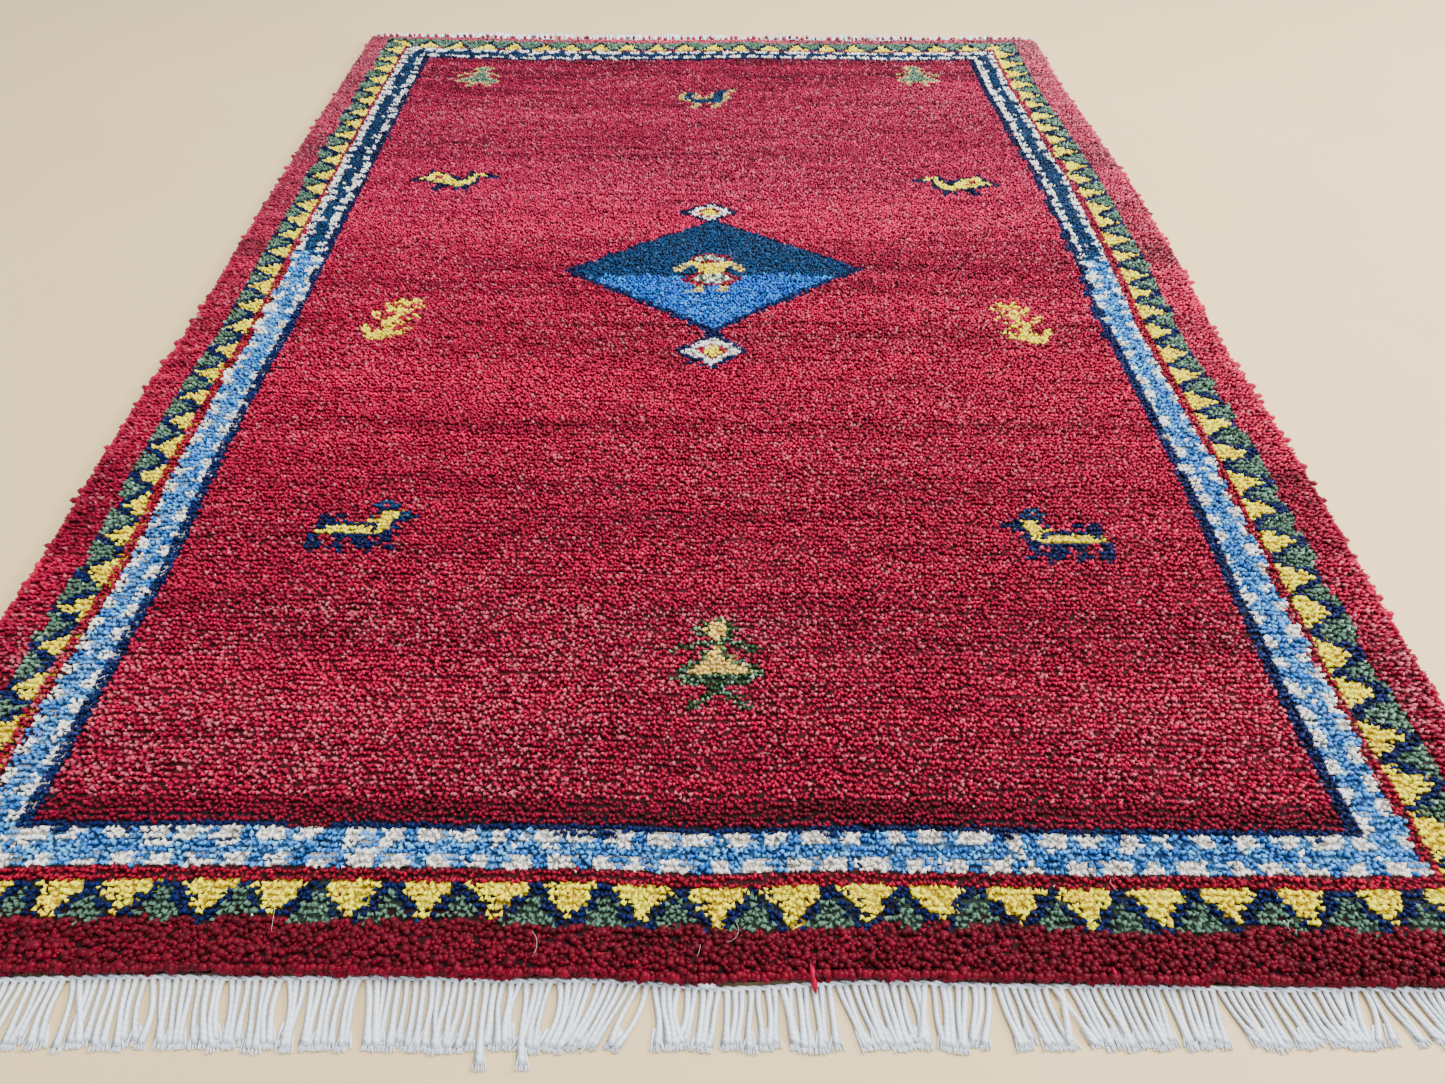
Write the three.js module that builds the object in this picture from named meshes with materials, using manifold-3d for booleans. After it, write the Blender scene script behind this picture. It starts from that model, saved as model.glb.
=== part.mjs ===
// A gabbeh rug lying flat on the floor: a thick hand-knotted wool pile on its foundation,
// and at each short end a twisted white end cord with the loose warp ends as a fringe.
import * as THREE from "three";
import Module from "manifold-3d";

const wasm = await Module();
wasm.setup();

// Driving dimensions in millimetres: X across the rug, Y along it, Z up from the floor.
const RUG_WIDTH = 1060;
const RUG_LENGTH = 1528;
const FOUNDATION_HEIGHT = 4.8;
const PILE_HEIGHT = 12.6;

// The pile's top rises and falls a little, and the two far corners ride up.
const SWELL = 1.1;
const SWELL_SPAN = 95;
const SWELL_SHIFT = 0.7;
const NUBBINESS = 0.9;
const CORNER_LIFT = 2.2;
const CORNER_LIFT_SPAN = 120;

// Locks of pile lean out all round the rim, with valleys between their tips.
const TIP_REACH = { low: 1.9, high: 3.4 };
const VALLEY_REACH = { low: 0.3, high: 1.1 };
const TIP_LEVEL = { low: 7.8, high: 8.6 };
const SHOULDER_INSET = { low: 1.9, high: 2.9 };
const TIP_DROP = 0.5;
const VALLEY_DROP = 1.1;
const SIDE_REACH = 8;
const CORNER_RADIUS = 14;

// The top is a coarse grid inside CROWN_INSET, stitched to a finer rim of two locks a cell.
const CROWN_INSET = 20;
const CELLS_ACROSS = 28;
const CELLS_ALONG = 40;
const STATIONS_PER_CELL = 4;

// The end cord lies at the foot of the pile, EDGE_GAP clear of the foundation.
const EDGE_GAP = 0.3;
const CORD_DEPTH = 3.6;
const CORD_HEIGHT = 3.6;
const CORD_CHAMFER = 1.1;
const CORD_TWIST = 0.25;
const CORD_STEPS = 56;
const CORD_END_INSET = 6;

// Fringe strands lie on the floor from the cord outwards.
const STRANDS_PER_END = 150;
const STRAND_WIDTH = 2.1;
const STRAND_HEIGHT = 1.9;
const TIP_WIDTH = 2.7;
const TIP_HEIGHT = 1.3;
const ROOT_DEPTH = 1.6;
const STRAND_REACH = 40;
const STRAND_UNEVENNESS = 3.5;
const LONGEST_REACH = 50;
const LONG_STRANDS_ACROSS = [-124, -100];
const LEAN = 6;
const LEAN_SPAN = 75;
const SIDE_LEAN = 2.4;
const SIDE_LEAN_SPAN = 28;
const BEND_SHARE = 0.5;
const BEND_LEAN = 0.35;
const ROOT_JITTER = 0.3;

const RIM_SEED = 11;
const CROWN_SEED = 29;
const NEAR_SEED = 101;
const FAR_SEED = 211;

const HALF_WIDTH = RUG_WIDTH / 2;
const HALF_LENGTH = RUG_LENGTH / 2;

// How far each edge bulges out of the plain rectangle, from one end of that edge (at 0) to the other (at 1).
// The near and far edges run from left to right, and the sides run from the near end to the far end.
const NEAR_EDGE = [
  { at: 0, out: -4 },
  { at: 0.19, out: -6 },
  { at: 0.43, out: -3 },
  { at: 0.51, out: 1 },
  { at: 0.58, out: -1 },
  { at: 0.78, out: 3 },
  { at: 0.9, out: 4 },
  { at: 1, out: 3 },
];
const FAR_EDGE = [
  { at: 0, out: 2 },
  { at: 0.12, out: 0 },
  { at: 0.27, out: -6 },
  { at: 0.45, out: -5 },
  { at: 0.58, out: 0 },
  { at: 0.74, out: -1 },
  { at: 0.93, out: 3 },
  { at: 1, out: 2 },
];
const LEFT_SIDE = [
  { at: 0, out: 7 },
  { at: 0.12, out: 1 },
  { at: 0.22, out: -3 },
  { at: 0.31, out: 1 },
  { at: 0.38, out: 1.5 },
  { at: 0.45, out: -3 },
  { at: 0.6, out: 1.5 },
  { at: 0.77, out: 3 },
  { at: 1, out: 0 },
];
const RIGHT_SIDE = [
  { at: 0, out: 3 },
  { at: 0.17, out: -2 },
  { at: 0.31, out: 2 },
  { at: 0.44, out: -2 },
  { at: 0.54, out: 5 },
  { at: 0.67, out: 7 },
  { at: 0.77, out: 0 },
  { at: 0.88, out: -6 },
  { at: 1, out: -7 },
];

function seededChance(seed) {
  let state = seed;
  return () => {
    state = (state + 0x6d2b79f5) | 0;
    let mixed = Math.imul(state ^ (state >>> 15), 1 | state);
    mixed = (mixed + Math.imul(mixed ^ (mixed >>> 7), 61 | mixed)) ^ mixed;
    return ((mixed ^ (mixed >>> 14)) >>> 0) / 2 ** 32;
  };
}

function within(range, chance) {
  return THREE.MathUtils.lerp(range.low, range.high, chance());
}

// A random step either way, up to reach.
function jitter(reach, chance) {
  return reach * (2 * chance() - 1);
}

function ease(t) {
  return t * t * (3 - 2 * t);
}

// The bulge of one edge at a share of its length, eased from row to row of its table.
function bulge(edge, at) {
  const share = THREE.MathUtils.clamp(at, 0, 1);
  const next = edge.findIndex((row, i) => i > 0 && row.at >= share);
  const from = edge[next - 1];
  const to = edge[next];
  return THREE.MathUtils.lerp(from.out, to.out, ease((share - from.at) / (to.at - from.at)));
}

function shareAcross(x) {
  return x / RUG_WIDTH + 0.5;
}

function shareAlong(y) {
  return y / RUG_LENGTH + 0.5;
}

// Moves a point of the plain rectangle to its place in the uneven outline.
function warp(x, y) {
  const across = shareAcross(x);
  const along = shareAlong(y);
  const left = -bulge(LEFT_SIDE, along);
  const right = bulge(RIGHT_SIDE, along);
  const near = -bulge(NEAR_EDGE, across);
  const far = bulge(FAR_EDGE, across);
  return {
    x: x + THREE.MathUtils.lerp(left, right, across),
    y: y + THREE.MathUtils.lerp(near, far, along),
  };
}

// The height of the pile's top: slow waves both ways, and a lift towards the far corners.
function pileTop(x, y) {
  const crossed = Math.sin(x / SWELL_SPAN + SWELL_SHIFT) * Math.cos(y / SWELL_SPAN);
  const slanted = Math.sin((x + 2 * y) / SWELL_SPAN);
  const fromCorner = Math.hypot(HALF_WIDTH - Math.abs(x), HALF_LENGTH - y);
  const lift = CORNER_LIFT * Math.exp(-((fromCorner / CORNER_LIFT_SPAN) ** 2));
  return PILE_HEIGHT + (SWELL * (crossed + slanted)) / 2 + lift;
}

// Collects vertices and triangles of one closed body.
class Body {
  constructor() {
    this.vertices = [];
    this.triangles = [];
  }

  addVertex(x, y, z) {
    this.vertices.push(x, y, z);
    return this.vertices.length / 3 - 1;
  }

  addTriangle(a, b, c) {
    this.triangles.push(a, b, c);
  }

  addQuad(a, b, c, d) {
    this.addTriangle(a, b, c);
    this.addTriangle(a, c, d);
  }

  // Joins two closed loops of vertices that run the same way round.
  addBand(lower, upper) {
    for (let i = 0; i < lower.length; i += 1) {
      const next = (i + 1) % lower.length;
      this.addQuad(lower[i], lower[next], upper[next], upper[i]);
    }
  }

  toGeometry() {
    const geometry = new THREE.BufferGeometry();
    geometry.setAttribute("position", new THREE.Float32BufferAttribute(this.vertices, 3));
    geometry.setIndex(this.triangles);
    geometry.computeVertexNormals();
    return geometry;
  }

  toManifold() {
    return new wasm.Manifold(
      new wasm.Mesh({
        numProp: 3,
        vertProperties: new Float32Array(this.vertices),
        triVerts: new Uint32Array(this.triangles),
      }),
    );
  }
}

// Points round a rectangle, counterclockwise from its near left corner.
function rectangleWalk(halfWidth, halfLength, stepsAcross, stepsAlong) {
  const sides = [
    { x: -halfWidth, y: -halfLength, dx: 1, dy: 0, length: 2 * halfWidth, steps: stepsAcross },
    { x: halfWidth, y: -halfLength, dx: 0, dy: 1, length: 2 * halfLength, steps: stepsAlong },
    { x: halfWidth, y: halfLength, dx: -1, dy: 0, length: 2 * halfWidth, steps: stepsAcross },
    { x: -halfWidth, y: halfLength, dx: 0, dy: -1, length: 2 * halfLength, steps: stepsAlong },
  ];
  return sides.flatMap((side) =>
    Array.from({ length: side.steps }, (_, i) => {
      const gone = (side.length * i) / side.steps;
      return {
        x: side.x + side.dx * gone,
        y: side.y + side.dy * gone,
        outX: i === 0 ? (side.dy - side.dx) * Math.SQRT1_2 : side.dy,
        outY: i === 0 ? (-side.dx - side.dy) * Math.SQRT1_2 : -side.dx,
        fromCorner: Math.min(gone, side.length - gone),
      };
    }),
  );
}

// How far the rounded corner draws a station in from the sharp one.
function cornerInset(fromCorner) {
  const short = Math.max(0, CORNER_RADIUS - fromCorner);
  return fromCorner === 0
    ? CORNER_RADIUS * (Math.SQRT2 - 1)
    : CORNER_RADIUS - Math.sqrt(CORNER_RADIUS ** 2 - short ** 2);
}

// The four loops of the rim: floor edge, foundation edge, tips of the locks, and shoulder of the pile.
function addRim(body, stations) {
  const chance = seededChance(RIM_SEED);
  const limit = HALF_WIDTH + SIDE_REACH;
  const loops = { floor: [], foundation: [], locks: [], shoulder: [] };
  stations.forEach((station, i) => {
    const inset = cornerInset(station.fromCorner);
    const place = (out) => {
      const spot = warp(station.x + station.outX * (out - inset), station.y + station.outY * (out - inset));
      return { x: THREE.MathUtils.clamp(spot.x, -limit, limit), y: spot.y };
    };
    const isTip = i % 2 === 1;
    const edge = place(0);
    const lock = place(within(isTip ? TIP_REACH : VALLEY_REACH, chance));
    const crown = place(-within(SHOULDER_INSET, chance));
    const crownHeight = pileTop(crown.x, crown.y) - (isTip ? TIP_DROP : VALLEY_DROP);
    loops.floor.push(body.addVertex(edge.x, edge.y, 0));
    loops.foundation.push(body.addVertex(edge.x, edge.y, FOUNDATION_HEIGHT));
    loops.locks.push(body.addVertex(lock.x, lock.y, within(TIP_LEVEL, chance)));
    loops.shoulder.push(body.addVertex(crown.x, crown.y, crownHeight));
  });
  return loops;
}

// The top's inner grid, as rows of vertices from the near end to the far end.
function addCrown(body) {
  const chance = seededChance(CROWN_SEED);
  const halfWidth = HALF_WIDTH - CROWN_INSET;
  const halfLength = HALF_LENGTH - CROWN_INSET;
  const rows = [];
  for (let j = 0; j <= CELLS_ALONG; j += 1) {
    const row = [];
    for (let i = 0; i <= CELLS_ACROSS; i += 1) {
      const spot = warp(
        THREE.MathUtils.lerp(-halfWidth, halfWidth, i / CELLS_ACROSS),
        THREE.MathUtils.lerp(-halfLength, halfLength, j / CELLS_ALONG),
      );
      row.push(body.addVertex(spot.x, spot.y, pileTop(spot.x, spot.y) + jitter(NUBBINESS, chance)));
    }
    rows.push(row);
  }
  for (let j = 0; j < CELLS_ALONG; j += 1) {
    for (let i = 0; i < CELLS_ACROSS; i += 1) {
      body.addQuad(rows[j][i], rows[j][i + 1], rows[j + 1][i + 1], rows[j + 1][i]);
    }
  }
  return rows;
}

// The outer loop of the crown's vertices, counterclockwise from its near left corner.
function crownLoop(rows) {
  const last = rows.length - 1;
  const right = rows[0].length - 1;
  return [
    ...rows[0].slice(0, right),
    ...rows.slice(0, last).map((row) => row[right]),
    ...rows[last].slice(1).reverse(),
    ...rows.slice(1).reverse().map((row) => row[0]),
  ];
}

// Fills between the fine shoulder loop and the coarse crown loop.
function stitch(body, fine, coarse) {
  const middle = STATIONS_PER_CELL / 2;
  coarse.forEach((start, cell) => {
    const end = coarse[(cell + 1) % coarse.length];
    for (let i = 0; i < STATIONS_PER_CELL; i += 1) {
      const here = cell * STATIONS_PER_CELL + i;
      const next = (here + 1) % fine.length;
      body.addTriangle(fine[here], fine[next], i < middle ? start : end);
      if (i === middle - 1) {
        body.addTriangle(fine[next], end, start);
      }
    }
  });
}

// The flat underside, filled across the floor loop.
function addUnderside(body, loop) {
  const outline = loop.map((i) => new THREE.Vector2(body.vertices[3 * i], body.vertices[3 * i + 1]));
  THREE.ShapeUtils.triangulateShape(outline, []).forEach(([a, b, c]) => {
    body.addTriangle(loop[c], loop[b], loop[a]);
  });
}

function pileGeometry() {
  const body = new Body();
  const stations = rectangleWalk(
    HALF_WIDTH,
    HALF_LENGTH,
    CELLS_ACROSS * STATIONS_PER_CELL,
    CELLS_ALONG * STATIONS_PER_CELL,
  );
  const rim = addRim(body, stations);
  const rows = addCrown(body);
  body.addBand(rim.floor, rim.foundation);
  body.addBand(rim.foundation, rim.locks);
  body.addBand(rim.locks, rim.shoulder);
  stitch(body, rim.shoulder, crownLoop(rows));
  addUnderside(body, rim.floor);
  return body.toGeometry();
}

// A closed bar through like sections, each a clockwise ring seen from the bar's start.
function bar(sections) {
  const body = new Body();
  const rings = sections.map((section) => section.map((p) => body.addVertex(p.x, p.y, p.z)));
  for (let i = 1; i < rings.length; i += 1) {
    body.addBand(rings[i - 1], rings[i]);
  }
  const first = rings[0];
  const last = rings[rings.length - 1];
  for (let i = 1; i < first.length - 1; i += 1) {
    body.addTriangle(first[0], first[i + 1], first[i]);
    body.addTriangle(last[0], last[i], last[i + 1]);
  }
  return body.toManifold();
}

// The foot of the pile at one end: end is -1 near and 1 far.
function edgeLine(end, x) {
  const edge = end < 0 ? NEAR_EDGE : FAR_EDGE;
  return end * (HALF_LENGTH + bulge(edge, shareAcross(x)));
}

// The end cord, a low bar with a chamfered front and the slight lumps of its twist.
function endCord(end) {
  const sections = [];
  const halfSpan = HALF_WIDTH - CORD_END_INSET;
  for (let i = 0; i <= CORD_STEPS; i += 1) {
    const x = THREE.MathUtils.lerp(-halfSpan, halfSpan, i / CORD_STEPS) * -end;
    const twist = CORD_TWIST * (i % 2 === 0 ? 1 : -1);
    const back = edgeLine(end, x) + end * EDGE_GAP;
    const front = back + end * (CORD_DEPTH + twist);
    const top = CORD_HEIGHT + twist;
    sections.push([
      new THREE.Vector3(x, back, 0),
      new THREE.Vector3(x, back, top),
      new THREE.Vector3(x, front - end * CORD_CHAMFER, top),
      new THREE.Vector3(x, front, top - CORD_CHAMFER),
      new THREE.Vector3(x, front, 0),
    ]);
  }
  return bar(sections);
}

// One strand's section: flat on the floor, with its ridge above the middle.
function strandSection(end, x, y, width, height) {
  const half = (width / 2) * end;
  return [new THREE.Vector3(x - half, y, 0), new THREE.Vector3(x, y, height), new THREE.Vector3(x + half, y, 0)];
}

// One strand from inside the cord to its frayed tip, level on the floor.
function strand(end, root, lean, reach) {
  const start = edgeLine(end, root) + end * (EDGE_GAP + CORD_DEPTH - ROOT_DEPTH);
  const tip = end * (HALF_LENGTH + reach);
  const bend = THREE.MathUtils.lerp(start, tip, BEND_SHARE);
  const bendWidth = THREE.MathUtils.lerp(STRAND_WIDTH, TIP_WIDTH, BEND_SHARE);
  return bar([
    strandSection(end, root, start, STRAND_WIDTH, STRAND_HEIGHT),
    strandSection(end, root + lean * BEND_LEAN, bend, bendWidth, STRAND_HEIGHT),
    strandSection(end, root + lean, tip, TIP_WIDTH, TIP_HEIGHT),
  ]);
}

// Neighbouring strands lean much alike, so that they stand apart down to their tips.
function leanAt(end, x) {
  return LEAN * Math.sin(x / LEAN_SPAN + end) + SIDE_LEAN * Math.sin(x / SIDE_LEAN_SPAN);
}

function fringeGeometry(end) {
  const chance = seededChance(end < 0 ? NEAR_SEED : FAR_SEED);
  const pitch = (RUG_WIDTH - 4 * CORD_END_INSET) / STRANDS_PER_END;
  let fringe = endCord(end);
  for (let i = 0; i < STRANDS_PER_END; i += 1) {
    const even = (i + 0.5 - STRANDS_PER_END / 2) * pitch;
    const root = even + jitter(ROOT_JITTER, chance);
    const isLong = LONG_STRANDS_ACROSS.some((x) => Math.abs(x - even) <= pitch / 2);
    const usualReach = STRAND_REACH + jitter(STRAND_UNEVENNESS, chance);
    const reach = isLong ? LONGEST_REACH : usualReach;
    fringe = fringe.add(strand(end, root, leanAt(end, even), reach));
  }
  const mesh = fringe.getMesh();
  const geometry = new THREE.BufferGeometry();
  geometry.setAttribute("position", new THREE.Float32BufferAttribute(mesh.vertProperties, 3));
  geometry.setIndex(new THREE.Uint32BufferAttribute(mesh.triVerts, 1));
  geometry.computeVertexNormals();
  return geometry;
}

const woolPile = new THREE.MeshStandardMaterial({ color: 0x8f1a34, roughness: 0.95, metalness: 0 });
const cottonNear = new THREE.MeshStandardMaterial({ color: 0xe4e4e2, roughness: 0.9, metalness: 0 });
const cottonFar = cottonNear.clone();

function addPiece(group, name, geometry, material) {
  const mesh = new THREE.Mesh(geometry, material);
  mesh.name = name;
  group.add(mesh);
}

const rug = new THREE.Group();
addPiece(rug, "knotted_pile", pileGeometry(), woolPile);
addPiece(rug, "fringe_near", fringeGeometry(-1), cottonNear);
addPiece(rug, "fringe_far", fringeGeometry(1), cottonFar);

export default rug;
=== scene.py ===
import math

import bpy
import numpy as np
from bpy.props import FloatProperty, FloatVectorProperty, IntProperty, PointerProperty
from mathutils import Matrix, Vector


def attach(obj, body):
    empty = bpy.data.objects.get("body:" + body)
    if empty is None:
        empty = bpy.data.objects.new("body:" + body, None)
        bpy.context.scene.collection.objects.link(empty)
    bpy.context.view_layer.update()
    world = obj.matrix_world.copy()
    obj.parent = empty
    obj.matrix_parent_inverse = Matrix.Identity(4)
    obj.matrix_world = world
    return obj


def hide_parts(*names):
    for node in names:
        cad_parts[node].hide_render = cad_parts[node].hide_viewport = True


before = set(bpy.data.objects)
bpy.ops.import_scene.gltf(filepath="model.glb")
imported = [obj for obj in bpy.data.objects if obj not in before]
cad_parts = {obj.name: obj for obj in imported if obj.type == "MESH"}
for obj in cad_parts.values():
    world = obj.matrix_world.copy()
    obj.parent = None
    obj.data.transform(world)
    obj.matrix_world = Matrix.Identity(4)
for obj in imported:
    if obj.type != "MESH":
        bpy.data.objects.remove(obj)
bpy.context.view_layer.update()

bl_info = {
    "name": "Gabbeh Rug",
    "version": (1, 0, 0),
    "blender": (4, 5, 0),
    "location": "3D Viewport > Sidebar > Gabbeh Rug",
    "description": "Knots a wool gabbeh rug with borders, medallion and cotton fringes",
    "category": "Object",
}

MM = 0.001
BODY = "root"
WOOL_SLOT = "wool_pile"
COTTON_SLOT = "cotton_warp"
WOOL_NAME = "hand_spun_wool"

# The rug's own sizes, the same as its solids have, in metres.
RUG_WIDTH = 1.060
RUG_LENGTH = 1.528
HALF_WIDTH = RUG_WIDTH / 2
HALF_LENGTH = RUG_LENGTH / 2
PILE_HEIGHT = 12.6 * MM
SWELL = 1.1 * MM
SWELL_SPAN = 95 * MM
SWELL_SHIFT = 0.7
CORNER_LIFT = 2.2 * MM
CORNER_LIFT_SPAN = 120 * MM
EDGE_GAP = 0.3 * MM
CORD_END_INSET = 6 * MM
STRAND_REACH = 40 * MM
STRAND_REACH_SPREAD = 3.5 * MM
LONGEST_REACH = 50 * MM
LONGEST_AT = (-124 * MM, -100 * MM)
LEAN = 6 * MM
LEAN_SPAN = 75 * MM
SIDE_LEAN = 2.4 * MM
SIDE_LEAN_SPAN = 28 * MM

# How far each edge stands out, in millimetres, at a share of its length.
NEAR_EDGE = ((0, -4), (0.19, -6), (0.43, -3), (0.51, 1), (0.58, -1), (0.78, 3), (0.9, 4), (1, 3))
FAR_EDGE = ((0, 2), (0.12, 0), (0.27, -6), (0.45, -5), (0.58, 0), (0.74, -1), (0.93, 3), (1, 2))
LEFT_SIDE = (
    (0, 7), (0.12, 1), (0.22, -3), (0.31, 1), (0.38, 1.5), (0.45, -3), (0.6, 1.5), (0.77, 3), (1, 0),
)
RIGHT_SIDE = (
    (0, 3), (0.17, -2), (0.31, 2), (0.44, -2), (0.54, 5), (0.67, 7), (0.77, 0), (0.88, -6), (1, -7),
)

# The knotting: knots across the rug and rows of knots along it.
KNOTS_ACROSS = 228
KNOT_ROWS = 328
KNOT_PITCH = RUG_WIDTH / KNOTS_ACROSS
ROW_PITCH = RUG_LENGTH / KNOT_ROWS
PILE_STRIPS = 5
ENDS_PER_KNOT = 2

FIELD, GUARD, RED, NAVY, BLUE, TEAL, CREAM, YELLOW, GREEN, GOLD, PINE, OLIVE = range(12)
DYE_NAMES = (
    "field_near", "guard", "red", "navy", "blue", "teal", "cream", "yellow", "green", "gold", "pine",
    "olive",
)
CHART_DYES = {
    "R": RED, "N": NAVY, "B": BLUE, "W": CREAM, "Y": YELLOW, "G": GREEN, "O": GOLD, "T": TEAL,
    "P": PINE, "L": OLIVE,
}

# Band limits in knots from each edge: guard, zigzag, red line, dotted band, navy line.
# The first row is at the rug's near (or left) end of that edge, the second at its other end.
NEAR_BANDS = ((6.4, 12.2, 14.0, 19.7, 20.8), (6.4, 12.2, 14.0, 19.7, 20.8))
FAR_BANDS = ((3.2, 10.3, 11.3, 18.6, 19.8), (3.9, 11.3, 12.2, 17.6, 19.2))
LEFT_BANDS = ((7.8, 13.4, 15.0, 21.1, 22.8), (6.2, 13.0, 14.0, 21.6, 23.4))
RIGHT_BANDS = ((7.2, 15.0, 16.5, 23.0, 24.8), (8.2, 15.6, 16.9, 24.0, 26.0))
BAND_WANDER = (0.33, 0.20, 0.20, 0.33, 0.33)
# Pitch of the teeth in knots, their half width at the red line as a share of it, the width
# of the navy line and how far the teeth reach toward the guard.
NEAR_ZIGZAG = (9.56, 0.435, 1.7, 0.98)
FAR_ZIGZAG = (9.56, 0.36, 1.2, 0.72)
SIDE_ZIGZAG = (8.41, 0.42, 1.5, 0.84)
# Where a tooth stands on the sides and at the ends, in knots from the corner.
SIDE_TOOTH = 61.6
END_TOOTH = 30.7
TOOTH_WANDER = 0.6
TOOTH_FATNESS = (0.88, 1.12)
TOOTH_RAGGEDNESS = 0.35
# Navy also fills the foot of the zigzag between two teeth: how high, and how far from a tooth.
NAVY_FOOT = (0.12, 0.36)
# Spacing of the cream steps in the dotted band, in knots.
END_DOTS = 5.3
SIDE_DOTS_NEAR = 4.8
SIDE_DOTS_FAR = 3.72
# The steps' depth in knots, their half width in spacings, and how that narrows inward.
DOT_DEPTH = (1.4, 2.5)
DOT_BREADTH = (0.24, 0.36)
DOT_TAPER = (1.12, 0.35)
DOT_SHIFT = 0.45
DOT_WANDER = 0.10
DOT_RAGGEDNESS = 0.09
WIDER_ON_TEAL = 0.07
STRAY_CREAM = 0.025
# The row where the mid blue of the band gives way to teal.
BLUE_ENDS_ROW = 178
# How many knots deep the near guard is.
GUARD_DEPTH = 6.5
# Dye lots of the field wool: the row where each begins, and its lightness.
DYE_LOTS = (
    (0, 0.70), (25, 0.92), (38, 1.05), (51, 0.95), (64, 1.0), (75, 0.96), (94, 1.06), (108, 0.90),
    (113, 1.08), (132, 0.99), (142, 0.90), (149, 1.08), (160, 0.92), (182, 1.0), (187, 1.14), (213, 1.06),
    (231, 0.96), (241, 1.02), (269, 0.92), (276, 0.96), (291, 0.80),
)
# The same for the two side guards.
GUARD_LOTS = (
    (0, 0.92), (56, 1.10), (74, 0.86), (99, 1.05), (144, 0.94), (150, 1.08), (176, 0.72), (185, 1.04),
    (202, 0.90), (210, 1.05), (228, 0.86), (240, 1.02),
)
# More knots than the rug has to any edge that matters: the start of a search for the nearest.
FAR_OFF = 99.0
# Rows where pale painted glints on the cut ends are most frequent: first row, end row and share.
PAINTED_GLINT_ROWS = ((25, 62, 0.24), (62, 135, 0.12), (135, 328, 0.13))

# Charts of the small figures, their top row toward the far end, one letter a knot.
DRESS = """
.......PP......
.....POOOP.....
...PPOOOOPP....
....GPOOOP.....
.......OPG.....
....PPGPPPGP...
.PPG...OP.PGPP.
P....POOP...PP.
.....POOOP.....
...PGOOOOOPG...
..PPOOOOOOOOGP.
.PGOOOOOOOOOOPP
PPPGPPGPPPGPPGP
..PPGPPPPGPPP..
......PPG......
......PPPG.....
.....PG..PP....
...PPP....PG...
...PG......PP..
"""
SMALL_DRESS = """
......LLLL....
.....LGGGLL...
....LLGGGL....
......LGL.....
......LGL.....
....LLGGGLL...
..LL.LGGGL.LL.
LL...LGGGL...L
L...LGGGGGL...
...LLGGGGGLL..
..LGGGGGGGGGL.
.LGGGGGGGGGGGL
LLGGLGGGGGLGGL
.LLLLLLLLLLLL.
.....LL..LL...
.....L....LL..
....LL....L...
"""
GOAT = """
...........TTT.....
..........TT.TT....
...........NNNN....
...........NYYYNT..
.NN.NN....N.YYYTTNN
.NNN......YYYYNNN..
.NNNNNNNNNNNYYN....
.NNYYYYYYYYNYYNN...
.YYYYYYYYYYYYNN....
NN..NNNNNNNNNNN....
NN...NN.NNN..NN....
NNN..N..NNNNNN.....
NNN.NNN..NNN..NN...
.N....N....N.......
"""
COMB = """
......Y..YY..
.....YYYYY...
...Y...YY..Y.
...YY.Y...Y..
....YYYY.Y...
....Y.YYY....
.YY...YY..Y..
.Y....Y....Y.
..YY.YY..Y...
....YYYY.....
....YY.YY....
Y...YYY......
YY...YY..YY..
YY.YYYY.Y....
.YYYYYYYYY...
.YYYYYY......
..YYYY.......
"""
BIRD = """
....N..................
....NN.........N.......
....NYYNN......NYYYNN..
...NYYYYYNN...NNYNYYNNN
...NYYRRYYNNN.NYYN.NNNN
.NNYYYRRYYYNNNNYYN.....
NNYNYYYYRYYYNNYYYN.....
NN.NNNYYYYYYYYYYNN.....
.....NNNNYYYYYYYNN.....
.......NNNNNYYNNN......
.......NNN..NNNN.......
......NNN...N.NN.......
......NN....N..N.......
"""
DOG = """
............TTTLLL.
...........TTTT.LL.
.LLTTL.....TTTLL...
.LTTTL....LTTTLL...
LLTTL.L...LTTTL....
LLTT.LL..LLTTTLL...
LLTTTLLLLLTTTTLL...
.LLTTTTTTTTTTTL....
..LLTTTTTTTTTTL....
....LTTTTTTTTL.....
.....LL..L.LL......
.....LL....LL......
....LL....LLL......
...LLL....LL.......
"""
IDOL = """
.......RRR.......
.....RRGWGRRR....
....RWLGWGWGRR...
....RGWGGWGW.R...
...OYYRRRRRYYO...
..LOYYYYYYYYYOL..
.LLO.OYYYYYYO.OL.
LOO..NYYYYYYN.OOL
LO...NYYYYYYN..OL
.....RRYYYYRR....
....RRGWWGWGRR...
...RRWGWLGWGWRR..
..RRGWGGWWGGWGRR.
...RRRRGWGWRRRR..
....RRRRRRRRRR...
.....LO....OL....
.....LO....OL....
...LLOO...OLL....
"""
UPPER_GEM = """
.......NN......
.....NNWWNN....
...NNWWWWWNN...
..NNWWRYRWWWN..
NNNWWRYYYRWWNN.
NNWWRYYYYYRWWNN
NNNWWRYYYRWWNN.
...NNWWRWWNN...
....NNWWWNN....
.....NNWNN.....
"""
LOWER_GEM = """
......NNNN.....
......NNNN.....
.....NNWWNN....
....NWWWWWNN...
...NWWWRWWWWN..
.NNWWRWYYRWWNN.
NNWWRRYYYRRWWNN
NWWWWRYYYYRWWWN
.NNWWWRYYRWWWN.
..NNWWWRRWWNN..
...NNNWWWWNN...
..NN..WWWNN....
.....NNWN......
.......NN......
"""
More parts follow.
